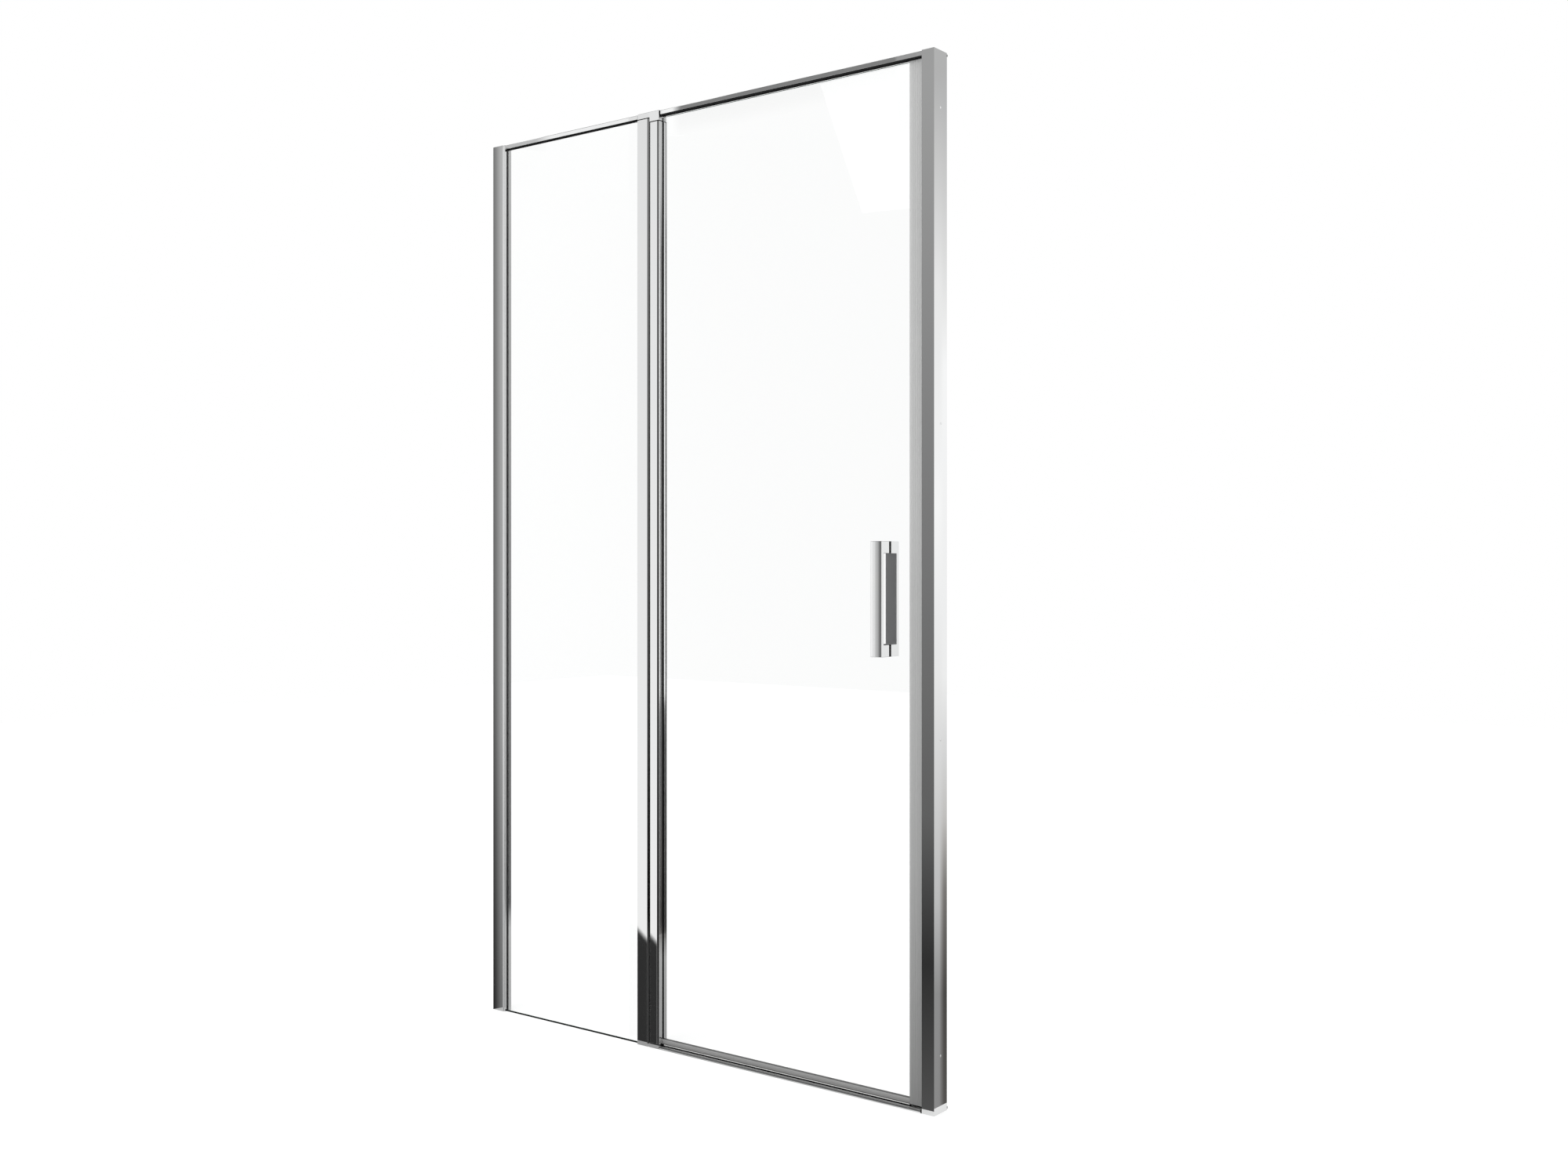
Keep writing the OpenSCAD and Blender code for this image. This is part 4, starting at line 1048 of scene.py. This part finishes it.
# Cards and flags that stand round the door. Each fills a narrow band of azimuths, with one level
# all over or levels by elevation in degrees. Later cards stand in front of earlier ones.
bands = {
    "railCardLeft": {"azimuth": (-138.4, -136.0), "soft": 0.1, "from": 13.0, "level": 235},
    "railStartCard": {"azimuth": (-139.0, -136.15), "soft": 0.5, "from": 14.28, "level": 185},
    "railCardMiddle": {"azimuth": (-136.0, -133.2), "soft": 0.1, "from": 13.0, "level": 235},
    "leftCard": {"azimuth": (-138.6, -137.76), "soft": 0.03, "levels": [(-15, 105), (-6, 150), (14, 175)]},
    "leftEdgeCard": {"azimuth": (-139.0, -137.86), "soft": 0.22, "levels": [(-15, 45), (-3, 100), (14, 120)]},
    "leftPocketCard": {"azimuth": (-137.68, -137.5), "soft": 0.01, "below": 14.3, "level": 0},
    "revealCard": {"azimuth": (-137.76, -137.67), "soft": 0.02, "levels": [
        (-15, 135), (-12, 145), (-11, 105), (-3, 160), (14, 190)]},
    "postCard": {"azimuth": (-133.4, -132.69), "soft": 0.02, "slant": (-1.14, -133.08), "levels": [
        (-17, 50), (-12.84, 50), (-12.78, 235), (15.5, 220)]},
    "pivotCard": {"azimuth": (-132.69, -132.28), "soft": 0.02, "slant": (-1.12, -132.63), "levels": [
        (-17, 50), (-13.01, 50), (-12.95, 235), (15.5, 225)]},
    "pivotPocketCard": {"azimuth": (-132.27, -132.02), "soft": 0.01, "below": 14.8, "level": 0},
    "lipVeilCard": {"azimuth": (-49.2, -46.4), "soft": 0.3, "levels": [(-20, 30), (12, 30), (14, 120)]},
    "railCardRight": {"azimuth": (-132.24, -131.4), "soft": 0.04, "from": 14.9, "level": 240},
    "headerCard": {"azimuth": (-131.84, -122.0), "soft": 0.3, "slant": (0.2, -131.84), "from": 14.9, "levels": [
        (14.9, 215), (15.4, 125), (30, 125)]},
    "headerEndCard": {"azimuth": (-123.9, -122.9), "soft": 0.1, "from": 15.0, "level": 150},
    "doorCard": {"azimuth": (-123.15, -122.2), "soft": 0.05, "levels": [
        (-19, 80), (-14, 50), (-9, 95), (17, 155)]},
    "postBevelCard": {"azimuth": (-106.2, -105.53), "soft": 0.04, "levels": [
        (-17, 55), (-13, 55), (-12.3, 20), (-4, 65), (15, 120)]},
    "pivotBevelCard": {"azimuth": (-105.53, -104.9), "soft": 0.04, "levels": [
        (-17, 50), (-12.3, 30), (15, 110)]},
    "glazingLipCard": {"azimuth": (41.6, 42.38), "soft": 0.01, "levels": [
        (-17, 150), (-12.6, 120), (-10, 150), (15, 215)]},
    "glazingRearCard": {"azimuth": (42.38, 43.0), "soft": 0.01, "levels": [(-17, 140), (-12.6, 90), (15, 185)]},
    "lipEdgeCard": {"azimuth": (46.6, 47.724), "soft": 0.01, "warmth": 0.5, "levels": [
        (-17, 150), (-13.2, 110), (-12.6, 45), (-6.3, 50), (-5.2, 130), (-4.6, 250), (11, 255), (15, 205)]},
    "lipCard": {"azimuth": (47.724, 47.85), "soft": 0.01, "warmth": 0.5, "levels": [
        (-17, 150), (-13.2, 120), (-12.6, 60), (-10, 85), (11, 110), (13, 170), (17, 200)]},
    "rearLipCard": {"azimuth": (47.85, 47.914), "soft": 0.008, "warmth": 0.5, "levels": [
        (-17, 140), (-13.2, 100), (-12.6, 45), (-6.2, 70), (-5.2, 120), (-4.6, 250), (9, 250), (15, 205)]},
    "rearEdgeCard": {"azimuth": (47.914, 49.0), "soft": 0.008, "warmth": 0.5, "levels": [
        (-17, 130), (-13.2, 90), (-12.6, 35), (-6.2, 60), (-4.6, 30), (0, 25), (11.6, 70), (12.4, 130),
        (15, 150)]},
    "undersideCard": {"azimuth": (119.0, 143.0), "soft": 1.5, "below": -9.0, "levels": [
        (-24, 110), (-20.5, 15), (-12, 15), (-9, 110)]},
    "noseCard": {"azimuth": (112.0, 154.0), "soft": 4.0, "from": 15.0, "level": 240},
    "handleSideCard": {"azimuth": (54.9, 56.75), "soft": 0.1, "levels": [(-12, 215), (15, 245)]},
    "sideCard": {"azimuth": (57.0, 58.4), "soft": 0.2, "levels": [
        (-19, 135), (-15, 140), (-12, 185), (-4, 230), (2, 245), (10, 230), (17, 175)]},
    "sideRearCard": {"azimuth": (57.7, 58.6), "soft": 0.16, "warmth": 0.45, "levels": [
        (-19, 85), (-15, 75), (-11.5, 120), (-9, 190), (-4, 235), (7, 245), (17, 175)]},
}


def buildWorld():
    world = bpy.data.worlds.new("softStudio")
    scene.world = world
    tree = ShaderTree(world)
    x, y, z = (tree.axis(letter, "Generated") for letter in "XYZ")
    azimuth = y.maths("ARCTAN2", y, x) * math.degrees(1)
    height = z.maths("ARCSINE", z) * math.degrees(1)

    # 0 at the start, 1 from there over the soft width
    def after(value, start, soft):
        return ((value - start) / soft).clamped()

    def before(value, end, soft):
        return ((end - value) / soft).clamped()

    # a ramp from a list of places and levels
    def profile(value, low, high, pairs):
        stops = [((place - low) / (high - low), level / 255) for place, level in pairs]
        return tree.add("ValToRGB", {"stops": stops}, {"Fac": (value - low) / (high - low)})

    level = profile(azimuth, -180, 180, studio["walls"])
    foot = studio["foot"]
    level = level * (foot + (1 - foot) * after(height, studio["footFrom"], studio["footSoft"]))
    warmth = 0.0
    for band in bands.values():
        low, high = band["azimuth"]
        mask = after(azimuth, low, band["soft"]) * before(azimuth, high, band["soft"])
        lean, pivot = band.get("slant", (0.0, 0.0))
        place = height - lean * (azimuth - pivot) if lean else height
        inside = profile(place, -30, 30, band["levels"]) if "levels" in band else band["level"] / 255
        if "from" in band:
            mask = mask * (place > band["from"])
        if "below" in band:
            mask = mask * (place < band["below"])
        level = level + mask * (inside - level)
        if "warmth" in band:
            warmth = warmth + mask * band["warmth"] * before(height, studio["warmFrom"], studio["warmSoft"])
    start, end = studio["behind"]
    behind = after(azimuth, start, studio["behindSoft"]) * before(azimuth, end, studio["behindSoft"])
    ring = after(height - studio["behindRise"] * behind, studio["rimFrom"], studio["rimSoft"]) \
        * before(height, studio["rimEnd"], studio["rimEndSoft"])
    ceiling = after(height, studio["topFrom"], studio["topSoft"])
    ground = before(height, studio["floorFrom"], studio["floorSoft"])
    for mask, name in ((ring, "rim"), (ceiling, "top"), (ground, "floor")):
        level = level + mask * (studio[name] / 255 - level)
    pure = (1.0, 1.0, 1.0)
    tone = tree.blend(warmth, pure, studio["warmTint"])
    tone = tree.add("VectorMath", {"operation": "SCALE"}, {0: tone, "Scale": studio["gain"] * level ** 2.2})
    fill, metal, white = (
        tree.add("Background", {}, {"Color": colour, "Strength": strength})
        for colour, strength in ((pure, studio["fill"]), (tone, 1.0), (pure, 1.0)))
    seen, mirrored = tree.rayKinds()
    tree.show(tree.mix(seen, tree.mix(mirrored, fill, metal), white), "OutputWorld")


buildWorld()


# A pale floor. The camera sees it white with the object's shadow. Polished metal sees it only
# close by, like a pale base under the door, and the studio beyond.
def buildFloor():
    floorPlan = {
        "size": 16.0, "under": 0.2 * mm, "glow": 0.60, "white": 1.25, "tone": 0.92,
        "inMetal": (0.47, 0.80, 0.27, 0.62), "slant": 3.2,
        "outside": ((0.0, 0.55), (0.33, 0.36), (0.43, 0.36), (0.9, 0.72), (0.96, 0.86)), "reach": 1.25,
        "rim": 22 * mm, "depth": 800 * mm, "fade": 220 * mm,
    }
    clearSelection()
    low, high = cadBox
    bpy.ops.mesh.primitive_plane_add(
        size=floorPlan["size"], location=((low.x + high.x) / 2, 0, low.z - floorPlan["under"]))
    floor = settle(bpy.context.object, "paleFloor")
    tree = materialTree("paleFloor")
    x, y = tree.axis("X"), tree.axis("Y")
    # a patch that fades off at its back and slants off at its left end
    close = (x < high.x + floorPlan["rim"]) * (y > -floorPlan["rim"]) * (y + floorPlan["slant"] * x > 0) \
        * ((floorPlan["depth"] - y) / floorPlan["fade"]).clamped()
    seen, mirrored = tree.rayKinds()
    matt = tree.add("BsdfDiffuse", {}, {"Color": (floorPlan["tone"],) * 3})
    glow = tree.add("Emission", {}, {"Color": (1.0, 1.0, 1.0), "Strength": floorPlan["white"]})
    lifted = tree.mix(floorPlan["glow"], matt, glow)
    shown = tree.mix(seen, matt, lifted)
    # what metal sees of it: brighter further back, duller towards the right end
    near0, far0, near1, far1 = ((level,) * 3 for level in floorPlan["inMetal"])
    back = y.clamped()
    tone = tree.blend(x.clamped(), tree.blend(back, near0, far0), tree.blend(back, near1, far1))
    rimTone = tree.add("ValToRGB", {"stops": floorPlan["outside"]}, {"Fac": x / floorPlan["reach"]})
    tone = tree.blend(((y < 0) + (x > high.x)).clamped(), tone, rimTone)
    dimmed = tree.add("Emission", {}, {"Color": tone, "Strength": 1.0})
    metalView = tree.mix(close, tree.add("BsdfTransparent"), dimmed)
    setMaterial(floor, tree.show(tree.mix(mirrored, shown, metalView)))


buildFloor()


def buildLamp():
    lampPlan = {"place": (0.1, -2.6, 3.4), "aim": (0.6, 0.0, 0.9), "size": 2.4, "power": 26.0}
    data = bpy.data.lights.new("softbox", "AREA")
    data.shape, data.size, data.energy = "SQUARE", lampPlan["size"], lampPlan["power"]
    lamp = bpy.data.objects.new("softbox", data)
    scene.collection.objects.link(lamp)
    lamp.location = lampPlan["place"]
    aim = Vector(lampPlan["aim"]) - Vector(lampPlan["place"])
    lamp.rotation_euler = aim.to_track_quat("-Z", "Y").to_euler()
    lamp.visible_glossy = False


buildLamp()


# The camera stands where the photograph was taken from
def buildCamera():
    cameraPlan = {
        "place": (2.7513, -2.4675, 1.008), "turn": 36.70, "lens": 36.74, "shift": (-0.0206, -0.0155)}
    data = bpy.data.cameras.new("photoCamera")
    data.sensor_width, data.lens = 36.0, cameraPlan["lens"]
    data.shift_x, data.shift_y = cameraPlan["shift"]
    camera = bpy.data.objects.new("photoCamera", data)
    scene.collection.objects.link(camera)
    camera.location = cameraPlan["place"]
    camera.rotation_euler = (math.radians(90), 0, math.radians(cameraPlan["turn"]))
    scene.camera = camera


buildCamera()
scene.view_settings.view_transform = "Standard"
print("studio and camera ready")

print("scene ready")
